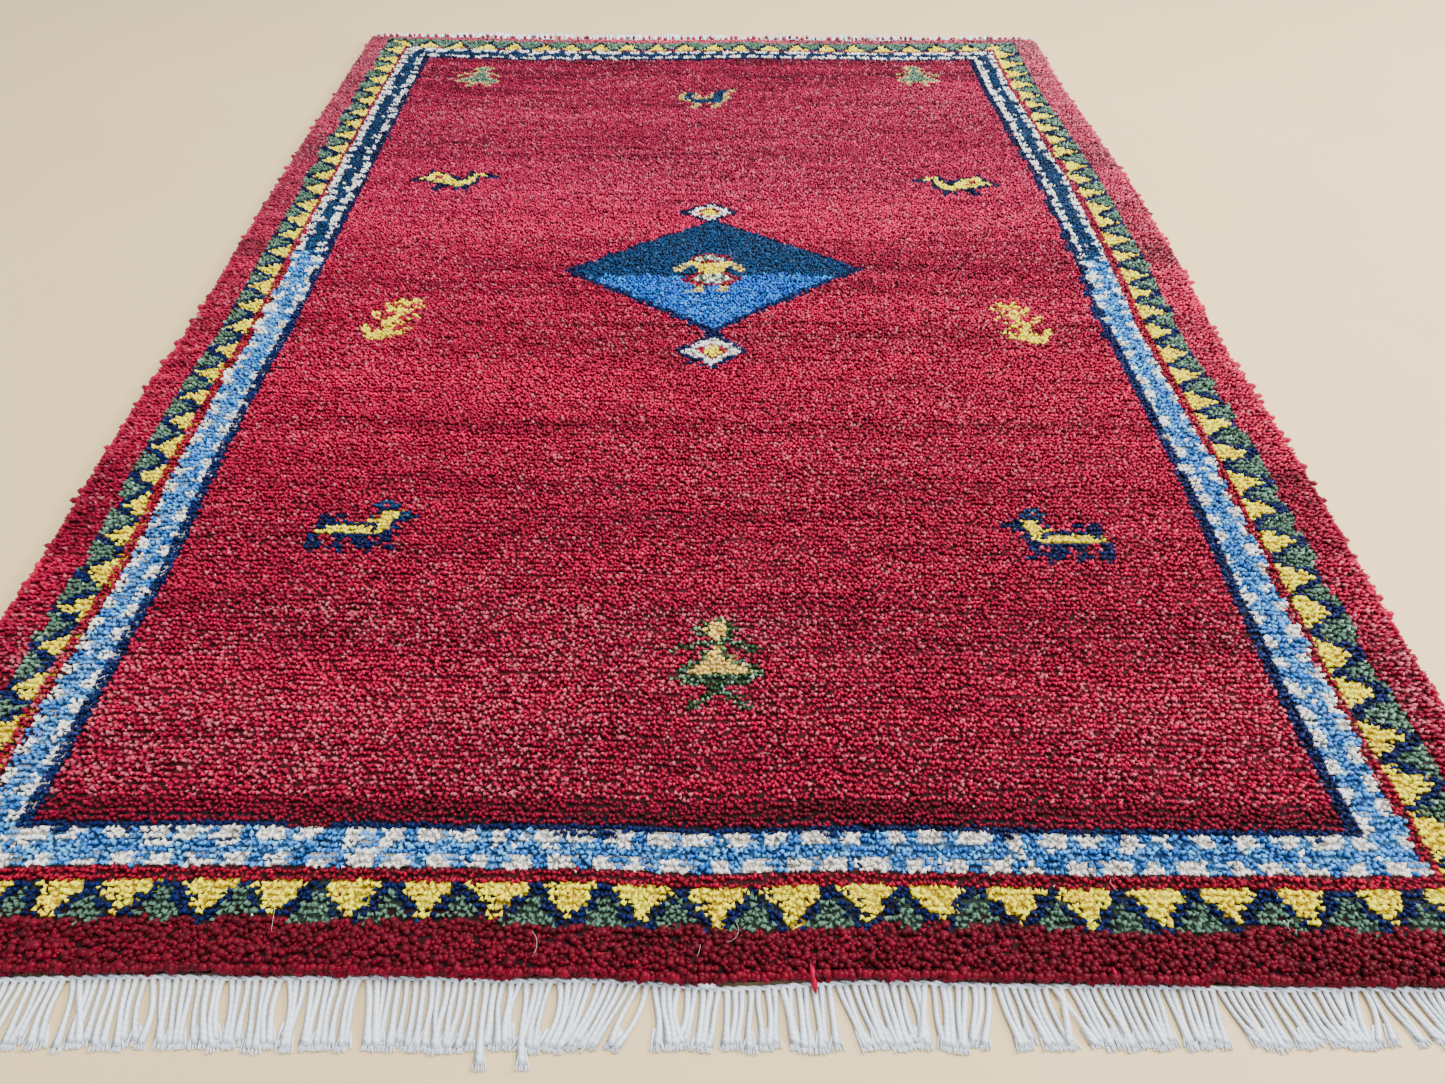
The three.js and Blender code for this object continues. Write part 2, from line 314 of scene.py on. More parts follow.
# Each figure's chart, the column and row of its middle, and whether it faces the other way.
FIGURES = (
    (DRESS, 116.3, 50.6, False),
    (GOAT, 53.2, 81.0, False),
    (GOAT, 176.3, 79.8, True),
    (COMB, 44.4, 149.6, False),
    (COMB, 184.2, 150.0, True),
    (BIRD, 46.8, 218.4, False),
    (BIRD, 180.4, 217.6, True),
    (DOG, 115.2, 275.6, False),
    (SMALL_DRESS, 42.4, 292.4, False),
    (SMALL_DRESS, 182.6, 295.4, True),
    (UPPER_GEM, 114.8, 202.2, False),
    (LOWER_GEM, 115.6, 137.8, False),
)
# The medallion: columns of its left and right tips, rows of its lower and upper tips.
GEM_LEFT = (79.6, 171.6)
GEM_RIGHT = (151.0, 172.2)
GEM_TOP = (115.6, 197.4)
GEM_BOTTOM = (116.0, 144.6)
GEM_OUTLINE = 1.7
GEM_THIN_OUTLINE = 0.6
GEM_CHANGE_ROW = 169
IDOL_PLACE = (114.3, 170.6)


def length_property(name, description, default):
    """A length that can be changed in the sidebar."""
    return FloatProperty(name=name, description=description, default=default, min=0, unit="LENGTH")


def power_property(name, description, default):
    """A light's power that can be changed in the sidebar."""
    return FloatProperty(name=name, description=description, default=default, min=0, unit="POWER")


class RugSizes(bpy.types.PropertyGroup):
    """Sizes of the pile, the fringe and the cords."""

    tuft_radius: length_property("Tuft radius", "Half the width of a cut end at its foot", 3.1 * MM)
    tuft_height: length_property("Tuft height", "How far a cut end stands over the pile", 3.6 * MM)
    pile_lean: length_property("Pile lean", "How far tips lean toward the near end", 1.1 * MM)
    height_spread: length_property("Height spread", "How much the tips differ in height", 0.6 * MM)
    bed_drop: length_property("Bed drop", "How far the packed pile lies under its ends", 3.3 * MM)
    strand_radius: length_property("Strand radius", "Half the thickness of a warp strand", 1.78 * MM)
    cord_radius: length_property("Cord radius", "Half the thickness of an end cord's ply", 1.0 * MM)
    strands: IntProperty(
        name="Strands", description="Twisted warp strands at each end", default=228, min=20,
    )


def dye_property(name, description, colour):
    """A dye that can be changed in the sidebar."""
    return FloatVectorProperty(
        name=name, description=description, default=colour, size=3, min=0, max=1,
        subtype="COLOR_GAMMA",
    )


class RugDyes(bpy.types.PropertyGroup):
    """Colours of the wool, in the order of the knot chart, and of the cotton."""

    field_near: dye_property("Field, near", "Crimson of the near half of the field", (0.625, 0.0, 0.207))
    # The far half's rose red stands partly for painted sheen.
    field_far: dye_property("Field, far", "Rose red of the far half of the field", (0.575, 0.075, 0.235))
    # The guard dye colours the near guard; its dark red stands partly for painted shade on that end.
    guard: dye_property("Guard", "Dark red of the outer band", (0.40, 0.0, 0.11))
    red: dye_property("Red line", "Red line inside the zigzag", (0.545, 0.0, 0.15))
    navy: dye_property("Navy", "Outlines and the inner line", (0.0, 0.08, 0.28))
    blue: dye_property("Blue", "Mid blue of the band and medallion", (0.10, 0.385, 0.70))
    light_blue: dye_property("Light blue", "Pale yarns mixed into the blue", (0.40, 0.68, 0.89))
    teal: dye_property("Teal", "Dark blue of the far half", (0.0, 0.225, 0.40))
    cream: dye_property("Cream", "Undyed wool", (0.90, 0.88, 0.84))
    yellow: dye_property("Yellow", "Zigzag and combs", (1.0, 0.85, 0.10))
    green: dye_property("Green", "Outer triangles of the zigzag", (0.30, 0.42, 0.35))
    gold: dye_property("Gold", "Straw gold of the near figure", (0.88, 0.73, 0.37))
    pine: dye_property("Pine", "Dark green outlines of the near figure", (0.16, 0.26, 0.15))
    olive: dye_property("Olive", "Olive gold of the far figures", (0.68, 0.60, 0.36))
    cotton: dye_property("Cotton", "Warp, fringe and end cord", (0.92, 0.96, 1.0))


class StudioSettings(bpy.types.PropertyGroup):
    """The plain studio round the rug."""

    floor_colour: dye_property("Floor", "Colour of the floor", (0.87, 0.76, 0.56))
    key_power: power_property("Key light", "Power of the large light over the rug", 106)
    side_power: power_property("Side light", "Power of the low light on the right", 150)
    back_power: power_property("Back light", "Power of the light beyond the far end", 26)
    sky_strength: FloatProperty(
        name="Sky", description="Strength of the even light from all round", default=0.97,
    )


def linear(colour):
    """A display colour as the linear numbers that shaders use."""
    values = np.array(colour, float)
    return np.where(values <= 0.04045, values / 12.92, ((values + 0.055) / 1.055) ** 2.4)


def eased(table, share):
    """How far an edge stands out at these shares of its length, in metres."""
    at = np.array([row[0] for row in table], float)
    out = np.array([row[1] for row in table], float) * MM
    share = np.clip(share, 0, 1)
    i = np.clip(np.searchsorted(at, share, side="right") - 1, 0, len(at) - 2)
    t = np.clip((share - at[i]) / (at[i + 1] - at[i]), 0, 1)
    t = t * t * (3 - 2 * t)
    return out[i] + (out[i + 1] - out[i]) * t


def warp(x, y):
    """Moves points of a true rectangle to where the uneven rug has them."""
    across = x / RUG_WIDTH + 0.5
    along = y / RUG_LENGTH + 0.5
    left, right = -eased(LEFT_SIDE, along), eased(RIGHT_SIDE, along)
    near, far = -eased(NEAR_EDGE, across), eased(FAR_EDGE, across)
    return x + left + (right - left) * across, y + near + (far - near) * along


def pile_top(x, y):
    """Height of the pile's surface over the floor."""
    crossed = np.sin(x / SWELL_SPAN + SWELL_SHIFT) * np.cos(y / SWELL_SPAN)
    slanted = np.sin((x + 2 * y) / SWELL_SPAN)
    from_corner = np.hypot(HALF_WIDTH - np.abs(x), HALF_LENGTH - y)
    lift = CORNER_LIFT * np.exp(-((from_corner / CORNER_LIFT_SPAN) ** 2))
    return PILE_HEIGHT + SWELL * (crossed + slanted) / 2 + lift


def edge_line(end, x):
    """Where the pile ends at the near (-1) or far (1) end."""
    edge = NEAR_EDGE if end < 0 else FAR_EDGE
    return end * (HALF_LENGTH + eased(edge, x / RUG_WIDTH + 0.5))


def fringe_lean(end, x):
    """How far the fringe drifts sideways over its length."""
    return LEAN * np.sin(x / LEAN_SPAN + end) + SIDE_LEAN * np.sin(x / SIDE_LEAN_SPAN)


def smooth_noise(shape, spans, chance):
    """Seeded noise between about -1 and 1 whose lumps have these spans, in knots."""
    coarse = [max(2, int(math.ceil(n / s)) + 3) for n, s in zip(shape, spans)]
    grid = chance.uniform(-1, 1, coarse)
    for axis, (n, span) in enumerate(zip(shape, spans)):
        at = np.arange(n) / span
        i = at.astype(int)
        t = at - i
        t = t * t * (3 - 2 * t)
        before = np.take(grid, i, axis=axis)
        after = np.take(grid, i + 1, axis=axis)
        t = t.reshape([-1 if a == axis else 1 for a in range(len(shape))])
        grid = before + (after - before) * t
    return grid


# The knotted design.


def band_limits(bands, share, chance):
    """The five band limits at each place along an edge, a little uneven."""
    first, last = (np.array(row, float) for row in bands)
    limits = first + (last - first) * share[:, None]
    unevenness = smooth_noise((len(share), len(first)), (3.0, 1.0), chance)
    return limits + np.array(BAND_WANDER) * unevenness


def zigzag_dyes(depth, width, along, zigzag, chance):
    """Dyes in the zigzag band: yellow steps on the red line, navy slants, green between."""
    pitch, half_width, navy_width, reach = zigzag
    tooth = np.floor(along / pitch + 0.5).astype(int)
    wander = chance.uniform(-TOOTH_WANDER, TOOTH_WANDER, tooth.max() + 2)[tooth]
    fatness = chance.uniform(*TOOTH_FATNESS, tooth.max() + 2)[tooth]
    off_axis = np.abs(along - tooth * pitch - wander)
    rise = np.clip(1 - depth / np.maximum(width, 0.5), 0, 1)
    ragged = chance.uniform(-TOOTH_RAGGEDNESS, TOOTH_RAGGEDNESS, depth.shape)
    yellow = pitch * half_width * (1 - rise / reach) * fatness + ragged
    dyes = np.full(depth.shape, GREEN)
    dyes[off_axis < yellow + navy_width] = NAVY
    dyes[off_axis < yellow] = YELLOW
    foot_height, foot_start = NAVY_FOOT
    dyes[(rise < foot_height) & (off_axis > pitch * foot_start) & (dyes != YELLOW)] = NAVY
    return dyes


def dotted_dyes(depth, width, steps, ground, chance):
    """Dyes in the dotted band: cream steps along both of its edges, counted by steps."""
    dyes = ground.copy()
    count = int(steps.max()) + 4
    full, narrowing = DOT_TAPER
    for from_edge, offset in ((depth, 0.0), (width - depth, DOT_SHIFT)):
        step = np.floor(steps + offset + 0.5).astype(int)
        wander = chance.uniform(-DOT_WANDER, DOT_WANDER, count)[step]
        deep = chance.uniform(*DOT_DEPTH, count)[step]
        broad = chance.uniform(*DOT_BREADTH, count)[step]
        off_axis = np.abs(steps - (step - offset) - wander)
        taper = broad * (full - narrowing * from_edge / deep)
        taper = taper + DOT_RAGGEDNESS * chance.uniform(-1, 1, depth.shape)
        taper = taper + WIDER_ON_TEAL * (ground == TEAL)
        dyes[(from_edge < deep) & (off_axis < taper)] = CREAM
    dyes[chance.uniform(0, 1, depth.shape) < STRAY_CREAM] = CREAM
    return dyes


def draw_borders(chance):
    """A chart of the whole rug with its borders, as a dye number for each knot."""
    rows = np.arange(KNOT_ROWS) + 0.5
    columns = np.arange(KNOTS_ACROSS) + 0.5
    along_side, along_end = rows / KNOT_ROWS, columns / KNOTS_ACROSS
    row_grid, column_grid = np.meshgrid(rows, columns, indexing="ij")
    from_right, from_far = KNOTS_ACROSS - column_grid, KNOT_ROWS - row_grid
    edges = (
        (column_grid, band_limits(LEFT_BANDS, along_side, chance)[:, None], row_grid, SIDE_ZIGZAG),
        (from_right, band_limits(RIGHT_BANDS, along_side, chance)[:, None], row_grid, SIDE_ZIGZAG),
        (row_grid, band_limits(NEAR_BANDS, along_end, chance)[None], column_grid, NEAR_ZIGZAG),
        (from_far, band_limits(FAR_BANDS, along_end, chance)[None], column_grid, FAR_ZIGZAG),
    )
    shape = row_grid.shape
    knots = np.full(shape, FIELD)
    best = np.full(shape, FAR_OFF)
    ground = np.where(row_grid < BLUE_ENDS_ROW + chance.uniform(-2, 2, shape), BLUE, TEAL)
    for depth, limits, along, teeth in edges:
        is_side = teeth is SIDE_ZIGZAG
        limits = np.broadcast_to(limits, shape + (5,))
        band = (depth[..., None] > limits).sum(axis=-1)
        inner = np.take_along_axis(limits, np.clip(band, 0, 4)[..., None], -1)[..., 0]
        before = np.take_along_axis(limits, np.clip(band - 1, 0, 4)[..., None], -1)[..., 0]
        outer = np.where(band > 0, before, 0)
        place = band + (depth - outer) / np.maximum(inner - outer, 0.5)
        place = np.where(band > 4, FAR_OFF - 1, place)
        nearest = place < best
        best = np.where(nearest, place, best)
        width = inner - outer
        first_tooth = SIDE_TOOTH if is_side else END_TOOTH
        zigzag = zigzag_dyes(depth - outer, width, along - first_tooth + 10 * teeth[0], teeth, chance)
        steps = along / END_DOTS
        if is_side:
            steps = np.minimum(along, BLUE_ENDS_ROW) / SIDE_DOTS_NEAR
            steps = steps + np.maximum(along - BLUE_ENDS_ROW, 0) / SIDE_DOTS_FAR
        dots = dotted_dyes(depth - outer, width, steps, ground, chance)
        for number, dyes in ((0, GUARD), (1, zigzag), (2, RED), (3, dots), (4, NAVY)):
            knots = np.where(nearest & (band == number), dyes, knots)
    return knots


def draw_medallion(knots, chance):
    """The large diamond in the middle, with its outline and its change of blue."""
    row_middles, column_middles = np.arange(KNOT_ROWS) + 0.5, np.arange(KNOTS_ACROSS) + 0.5
    rows, columns = np.meshgrid(row_middles, column_middles, indexing="ij")
    tips = (GEM_LEFT, GEM_TOP, GEM_RIGHT, GEM_BOTTOM)
    inside = np.full(rows.shape, FAR_OFF)
    for (x0, y0), (x1, y1) in zip(tips, tips[1:] + tips[:1]):
        length = math.hypot(x1 - x0, y1 - y0)
        out = ((columns - x0) * (y1 - y0) - (rows - y0) * (x1 - x0)) / length
        inside = np.minimum(inside, out)
    inside = inside + 0.3 * chance.uniform(-1, 1, (KNOT_ROWS, KNOTS_ACROSS))
    change = GEM_CHANGE_ROW + chance.uniform(-0.8, 0.8, rows.shape)
    knots = np.where(inside > 0, NAVY, knots)
    knots = np.where(inside > GEM_OUTLINE, np.where(rows > change, TEAL, BLUE), knots)
    return np.where((inside > GEM_THIN_OUTLINE) & (rows > change + 4), TEAL, knots)


def work_chart(knots, chart, column, row, mirrored):
    """Knots one small figure into the chart of the whole rug."""
    lines = chart.split()
    width = max(len(line) for line in lines)
    left = int(round(column - width / 2))
    top = int(round(row + len(lines) / 2)) - 1
    for down, line in enumerate(lines):
        for across, letter in enumerate(line[::-1] if mirrored else line):
            if letter in CHART_DYES:
                knots[top - down, left + across] = CHART_DYES[letter]


def rug_chart():
    """The dye number of each knot, row by row from the near end."""
    chance = np.random.default_rng(411)
    knots = draw_borders(chance)
    knots = draw_medallion(knots, chance)
    for chart, column, row, mirrored in FIGURES:
        work_chart(knots, chart, column, row, mirrored)
    work_chart(knots, IDOL, *IDOL_PLACE, False)
    return knots


# Where along the rug the colours start to blend toward those of the far end, over how much of its length,
# and how far the blues deepen there; on the reds the far colours stand partly for painted sheen.
FAR_BLEND_START, FAR_BLEND_SPAN = 0.40, 0.34
DEEPER_BLUE = 0.45
# Streaks of uneven dyeing: how strong, and how many knots they span along and across.
STREAKS = ((0.20, (1.3, 22)), (0.14, (9, 50)))
# Rows and columns round the blue of the medallion, and how much deeper its blue is.
GEM_PATCH = (slice(140, 200), slice(78, 153))
GEM_BLUE = (0.14, 0.56, 0.90)
# What the far ends of the side guards gain toward pink, as painted sheen.
GUARD_FAR_SHEEN = (0, 0.046, 0.038)
# The darkest and the lightest that wool gets.
LEAST, MOST = 0.001, 0.95


def lot_steps(lots):
    """Brightness of each row's dye lot."""
    steps = np.ones(KNOT_ROWS)
    for first_row, lightness in lots:
        steps[first_row:] = lightness ** 2
    return steps


def dyed_red(knots, palette, far_red, far_blend, abrash, streaks):
    """Colours of the field, the guards and the red lines, blending toward the far end, where the paler
    rose stands partly for painted sheen.
    """
    field = palette[FIELD] * (1 - far_blend) + far_red * far_blend
    colours = np.where((knots == FIELD)[..., None], field * abrash[..., None], palette[knots])
    side_guard = ((knots == GUARD) & (np.arange(KNOT_ROWS) > GUARD_DEPTH)[:, None])[..., None]
    # Painted sheen: the side guards grow lighter and pinker toward the far end.
    sheen_toward_far = ((np.arange(KNOT_ROWS) + 0.5) / KNOT_ROWS)[:, None, None]
    guard_lots = lot_steps(GUARD_LOTS)[:, None, None]
    guard = palette[FIELD] * (0.80 + 0.46 * sheen_toward_far) * guard_lots
    colours = np.where(side_guard, guard, colours)
    redness = colours.max(axis=-1, keepdims=True) / palette[FIELD].max()
    # Painted sheen: the guards and red lines blend toward the far end's rose red.
    far_blended = colours * (1 - far_blend) + redness * far_red * far_blend
    red_wool = ((knots == GUARD) | (knots == RED))[..., None]
    colours = np.where(red_wool, far_blended * (1 + streaks[..., None]), colours)
    return colours + side_guard * np.array(GUARD_FAR_SHEEN) * sheen_toward_far ** 2.5


def dyed_blue(colours, knots, palette, light_blue, far_blend, chance):
    """The blues: pale yarns mixed into the mid blue, teal and navy deeper toward the far end."""
    shape = knots.shape
    heather = chance.beta(0.8, 1.3, shape)[..., None]
    blue = palette[BLUE] * (1 - heather) + light_blue * heather
    in_gem = np.zeros(shape, bool)
    in_gem[GEM_PATCH] = True
    blue = np.where(in_gem[..., None], blue * np.array(GEM_BLUE), blue)
    colours = np.where((knots == BLUE)[..., None], blue, colours)
    deepened = 1 - DEEPER_BLUE * far_blend
    teal = palette[TEAL] * deepened * (0.75 + 0.5 * chance.beta(1.5, 3.0, shape)[..., None])
    colours = np.where((knots == NAVY)[..., None], colours * deepened, colours)
    return np.where((knots == TEAL)[..., None], teal, colours)


def knot_colours(knots, dyes):
    """Each knot's own colour, with the uneven dyeing of hand-spun wool and, on the reds, painted sheen
    toward the far end.
    """
    chance = np.random.default_rng(57)
    shape = knots.shape
    palette = np.array([linear(getattr(dyes, name)) for name in DYE_NAMES])
    share = (np.arange(KNOT_ROWS) + 0.5) / KNOT_ROWS
    far_blend = np.clip((share - FAR_BLEND_START) / FAR_BLEND_SPAN, 0, 1)
    far_blend = (far_blend * far_blend * (3 - 2 * far_blend))[:, None, None]
    rows = (0.07 + 0.07 * share) * chance.uniform(-1, 1, KNOT_ROWS)
    streaks = sum(depth * smooth_noise(shape, spans, chance) for depth, spans in STREAKS)
    streaks = streaks * (1 + 0.6 * share[:, None])
    abrash = 1 + (lot_steps(DYE_LOTS) - 1)[:, None] + rows[:, None] + streaks
    colours = dyed_red(knots, palette, linear(dyes.field_far), far_blend, abrash, streaks)
    colours = dyed_blue(colours, knots, palette, linear(dyes.light_blue), far_blend, chance)
    uneven = 0.13 + 0.17 * share[:, None]
    colours = colours * (1 + uneven * chance.normal(0, 1, shape).clip(-2, 2))[..., None]
    return np.clip(colours, LEAST, MOST)


def tip_colours(colours):
    """The colour of each cut end: lighter than its foot, partly the paler tips of wool and partly a
    painted highlight, and here and there a painted glint.
    """
    chance = np.random.default_rng(58)
    shape = colours.shape[:-1]
    often = np.zeros(shape[:2])
    for first_row, last_row, share in PAINTED_GLINT_ROWS:
        often[first_row:last_row] = share
    often = (often * (1 + 0.8 * smooth_noise(shape[:2], (10, 30), chance)))[..., None]
    # Painted glints: here and there a cut end is tinted pale.
    has_painted_glint = chance.uniform(0, 1, shape) < often
    pale = np.where(has_painted_glint, chance.uniform(0.20, 0.75, shape), 0.0)[..., None]
    dark_blue = (colours[..., 2] > 3 * colours[..., 0]) & (colours[..., 2] < 0.22)
    pale = np.where(dark_blue[..., None], 0.25 * pale, pale)
    # Painted highlight, with the paler tips of wool: every end lighter than its foot.
    lighter = colours * (1.06 + 0.42 * np.abs(chance.normal(0, 1, shape)).clip(0, 2)[..., None])
    painted_glint = 0.25 + 0.75 * colours / colours.max(axis=-1, keepdims=True)
    return np.clip(lighter * (1 - pale) + 0.85 * painted_glint * pale, LEAST, MOST)


def shaded(colours, dark, light):
    """Painted shade for wool down in the pile: dark dyes keep the first share of their colour, pale ones
    more.
    """
    brightness = colours @ np.array((0.21, 0.72, 0.07))
    return colours * (dark + light * brightness)[..., None]


# Modelling helpers.


def deselect_all():
    """Leaves edit mode with nothing selected."""
    if bpy.context.object and bpy.context.object.mode != "OBJECT":
        bpy.ops.object.mode_set(mode="OBJECT")
    bpy.ops.object.select_all(action="DESELECT")


def only(obj):
    """Selects just this object."""
    deselect_all()
    obj.select_set(True)
    bpy.context.view_layer.objects.active = obj


def name_piece(name):
    """Gives the active object and its mesh a name."""
    piece = bpy.context.object
    piece.name = name
    piece.data.name = name
    return piece


def finish_piece(piece, slot_name, material, *stands_for):
    """Lays a piece at the origin and hangs it on the rug's body."""
    only(piece)
    bpy.ops.object.transform_apply(location=True, rotation=True, scale=True)
    piece.data.materials.clear()
    piece.data.materials.append(material)
    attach(piece, BODY)
    if stands_for:
        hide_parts(*stands_for)


def finish_wool(piece):
    """Finishes a piece of the pile in the wool that all of them share."""
    wool = bpy.data.materials.get(WOOL_NAME) or wool_material()
    finish_piece(piece, WOOL_SLOT, wool, "knotted_pile")


def make_normals_outward(piece):
    """Turns every face of a closed piece outward."""
    only(piece)
    bpy.ops.object.mode_set(mode="EDIT")
    bpy.ops.mesh.select_all(action="SELECT")
    bpy.ops.mesh.normals_make_consistent(inside=False)
    bpy.ops.object.mode_set(mode="OBJECT")


def take_model(piece):
    """Reads a modelled shape's corners and faces, and removes it from the scene."""
    mesh = piece.data
    points = np.array([v.co for v in mesh.vertices], float)
    faces = [tuple(p.vertices) for p in mesh.polygons]
    bpy.data.objects.remove(piece)
    bpy.data.meshes.remove(mesh)
    return points, faces


def joined_copies(name, faces, points, face_uvs, dyes=None):
    """One mesh of many copies of a shape: points and dyes are (copies, corners, ...)."""
    copies, corners = points.shape[:2]
    sizes = np.array([len(f) for f in faces])
    flat = np.concatenate([np.array(f) for f in faces])
    loops = (flat[None, :] + (np.arange(copies) * corners)[:, None]).ravel()
    mesh = bpy.data.meshes.new(name)
    mesh.vertices.add(copies * corners)
    mesh.loops.add(len(loops))
    mesh.polygons.add(copies * len(faces))
    mesh.vertices.foreach_set("co", points.astype(np.float32).ravel())
    starts = np.concatenate(([0], np.cumsum(sizes)[:-1]))
    all_starts = (starts[None, :] + (np.arange(copies) * len(flat))[:, None]).ravel()
    mesh.polygons.foreach_set("loop_start", all_starts.astype(np.int32))
    mesh.loops.foreach_set("vertex_index", loops.astype(np.int32))
    mesh.polygons.foreach_set("use_smooth", np.ones(copies * len(faces), bool))
    mesh.update(calc_edges=True)
    uv = mesh.uv_layers.new(name="OFBake")
    uv.data.foreach_set("uv", face_uvs.astype(np.float32).ravel())
    if dyes is not None:
        # The dye attribute holds each point's colour, with the painted shade, highlights, glints and
        # sheen that the callers put in it.
        layer = mesh.attributes.new("dye", "FLOAT_COLOR", "POINT")
        full = np.ones((copies * corners, 4), np.float32)
        full[:, :3] = dyes.reshape(-1, 3)
        layer.data.foreach_set("color", full.ravel())
    mesh.validate()
    piece = bpy.data.objects.new(name, mesh)
    bpy.context.scene.collection.objects.link(piece)
    return piece


def tuft_model():
    """One cut end of wool: a blunt three-sided cone, one unit high."""
    deselect_all()
    bpy.ops.mesh.primitive_cone_add(vertices=3, radius1=1, radius2=0, depth=1, location=(0, 0, 0.5))
    name_piece("tuft_model")
    bpy.ops.object.transform_apply(location=True, rotation=True, scale=True)
    return take_model(bpy.context.object)


def tuft_star(points, faces):
    """A tuft's three sides laid flat round its tip, its base beside them, in a cell of one by one."""
    spots = []
    for face in faces:
        is_base = all(points[i, 2] < 0.5 for i in face)
        for i in face:
            x, y = points[i, :2]
            at_base, at_tip = (0.80 + 0.16 * x, 0.80 + 0.16 * y), (0.42 + 0.36 * x, 0.40 + 0.36 * y)
            spots.append(at_base if is_base else at_tip)
    return np.array(spots)


def star_sheet(copies, star):
    """The stars of all copies, side by side on one square sheet."""
    side = math.ceil(math.sqrt(copies))
    number = np.arange(copies)
    cell = np.stack((number % side, number // side), axis=1)
    return (cell[:, None, :] + star[None, :, :]) / side


def tufts(name, points, faces, sheet, base, tip, radius, turn, dyes, tip_dyes, chance):
    """Joined tufts: base and tip are each tuft's ends, with its radius and its turn."""
    copies = len(base)
    axis = tip - base
    up = axis / np.linalg.norm(axis, axis=1)[:, None]
    side = np.cross(np.stack((-np.sin(turn), np.cos(turn), np.zeros(copies)), axis=1), up)
    side /= np.linalg.norm(side, axis=1)[:, None]
    front = np.cross(up, side)
    placed = np.empty((copies, len(points), 3))
    coloured = np.empty((copies, len(points), 3))
    for i, (px, py, pz) in enumerate(points):
        uneven = radius * (1 + 0.25 * chance.uniform(-1, 1, copies))
        aside = side * (px * uneven)[:, None] + front * (py * uneven)[:, None]
        placed[:, i] = base + axis * pz + aside
        # The colour runs from foot to tip: from painted shade at the foot to a lighter tip, often a
        # painted highlight.
        coloured[:, i] = dyes * (1 - pz) + tip_dyes * pz
    placed[..., 2] = np.maximum(placed[..., 2], 0.1 * MM)
    return joined_copies(name, faces, placed, sheet(copies), coloured)


def tuft_sheet(points, faces):
    """Lays out any number of tufts on one sheet."""
    return lambda copies: star_sheet(copies, tuft_star(points, faces))


def curl_model():
    """A rounded curl of wool with twenty sides, one unit high."""
    deselect_all()
    bpy.ops.mesh.primitive_ico_sphere_add(subdivisions=1, radius=1, location=(0, 0, 0))
    name_piece("curl_model")
    bpy.ops.transform.resize(value=(1, 1, 0.5))
    bpy.ops.transform.translate(value=(0, 0, 0.5))
    bpy.ops.object.transform_apply(location=True, rotation=True, scale=True)
    return take_model(bpy.context.object)


def curl_sheet(faces):
    """Lays out any number of curls on one sheet, each face in its own place."""
    spots = []
    for number, face in enumerate(faces):
        left, low = 0.02 + 0.196 * (number % 5), 0.02 + 0.245 * (number // 5)
        spots.extend(((left, low), (left + 0.17, low), (left + 0.085, low + 0.21)))
    return lambda copies: star_sheet(copies, np.array(spots))


# Materials.


# The lowest and the highest that the noise mostly gets.
NOISE_RANGE = (0.28, 0.72)


def new_material(name):
    """An empty node material and its shader."""
    material = bpy.data.materials.new(name)
    material.use_nodes = True
    nodes = material.node_tree.nodes
    return material, nodes, material.node_tree.links, nodes["Principled BSDF"]


def set_inputs(made, values):
    """Sets a node's inputs, given by name or by number."""
    for key, value in values.items():
        made.inputs[key].default_value = value


def node(nodes, kind, values=(), **settings):
    """A node with its inputs set by these values and its properties by name."""
    made = nodes.new(kind)
    for key, value in settings.items():
        setattr(made, key, value)
    set_inputs(made, dict(values))
    return made


def map_range(nodes, from_low, from_high, to_low, to_high):
    """A node that stretches one range of numbers over another."""
    return node(nodes, "ShaderNodeMapRange", {
        "From Min": from_low, "From Max": from_high, "To Min": to_low, "To Max": to_high,
    })


def object_noise(nodes, links, scale, detail):
    """Noise in the rug's own coordinates."""
    place = node(nodes, "ShaderNodeTexCoord")
    noise = node(nodes, "ShaderNodeTexNoise", {"Scale": scale, "Detail": detail})
    links.new(place.outputs["Object"], noise.inputs["Vector"])
    return noise


def tinted(nodes, links, colour, noise, low, high):
    """The colour made lighter and darker by the noise."""
    spread = map_range(nodes, *NOISE_RANGE, low, high)
    links.new(noise.outputs["Fac"], spread.inputs["Value"])
    scale = node(nodes, "ShaderNodeVectorMath", operation="SCALE")
    links.new(colour, scale.inputs[0])
    links.new(spread.outputs["Result"], scale.inputs["Scale"])
    return scale.outputs["Vector"]


def bumped(nodes, links, height, strength, distance, shader):
    """Raises the surface by a height."""
    bump = node(nodes, "ShaderNodeBump", {"Strength": strength, "Distance": distance})
    links.new(height, bump.inputs["Height"])
    links.new(bump.outputs["Normal"], shader.inputs["Normal"])


def wool_material():
    """Cut hand-spun wool, each tuft in its own dye."""
    material, nodes, links, shader = new_material(WOOL_NAME)
    # The dye attribute carries the knots' colours with their painted shade, highlights, glints and sheen.
    dye = node(nodes, "ShaderNodeAttribute", attribute_name="dye")
    fibres = object_noise(nodes, links, 950.0, 3.0)
    uneven = tinted(nodes, links, dye.outputs["Color"], fibres, 0.74, 1.26)
    links.new(uneven, shader.inputs["Base Color"])
    bumped(nodes, links, fibres.outputs["Fac"], 0.55, 0.5 * MM, shader)
    set_inputs(shader, {
        "Roughness": 0.42, "Specular IOR Level": 0.10,
        "Sheen Weight": 0.03, "Sheen Roughness": 0.4, "Sheen Tint": (1.0, 0.72, 0.74, 1),
    })
    return material


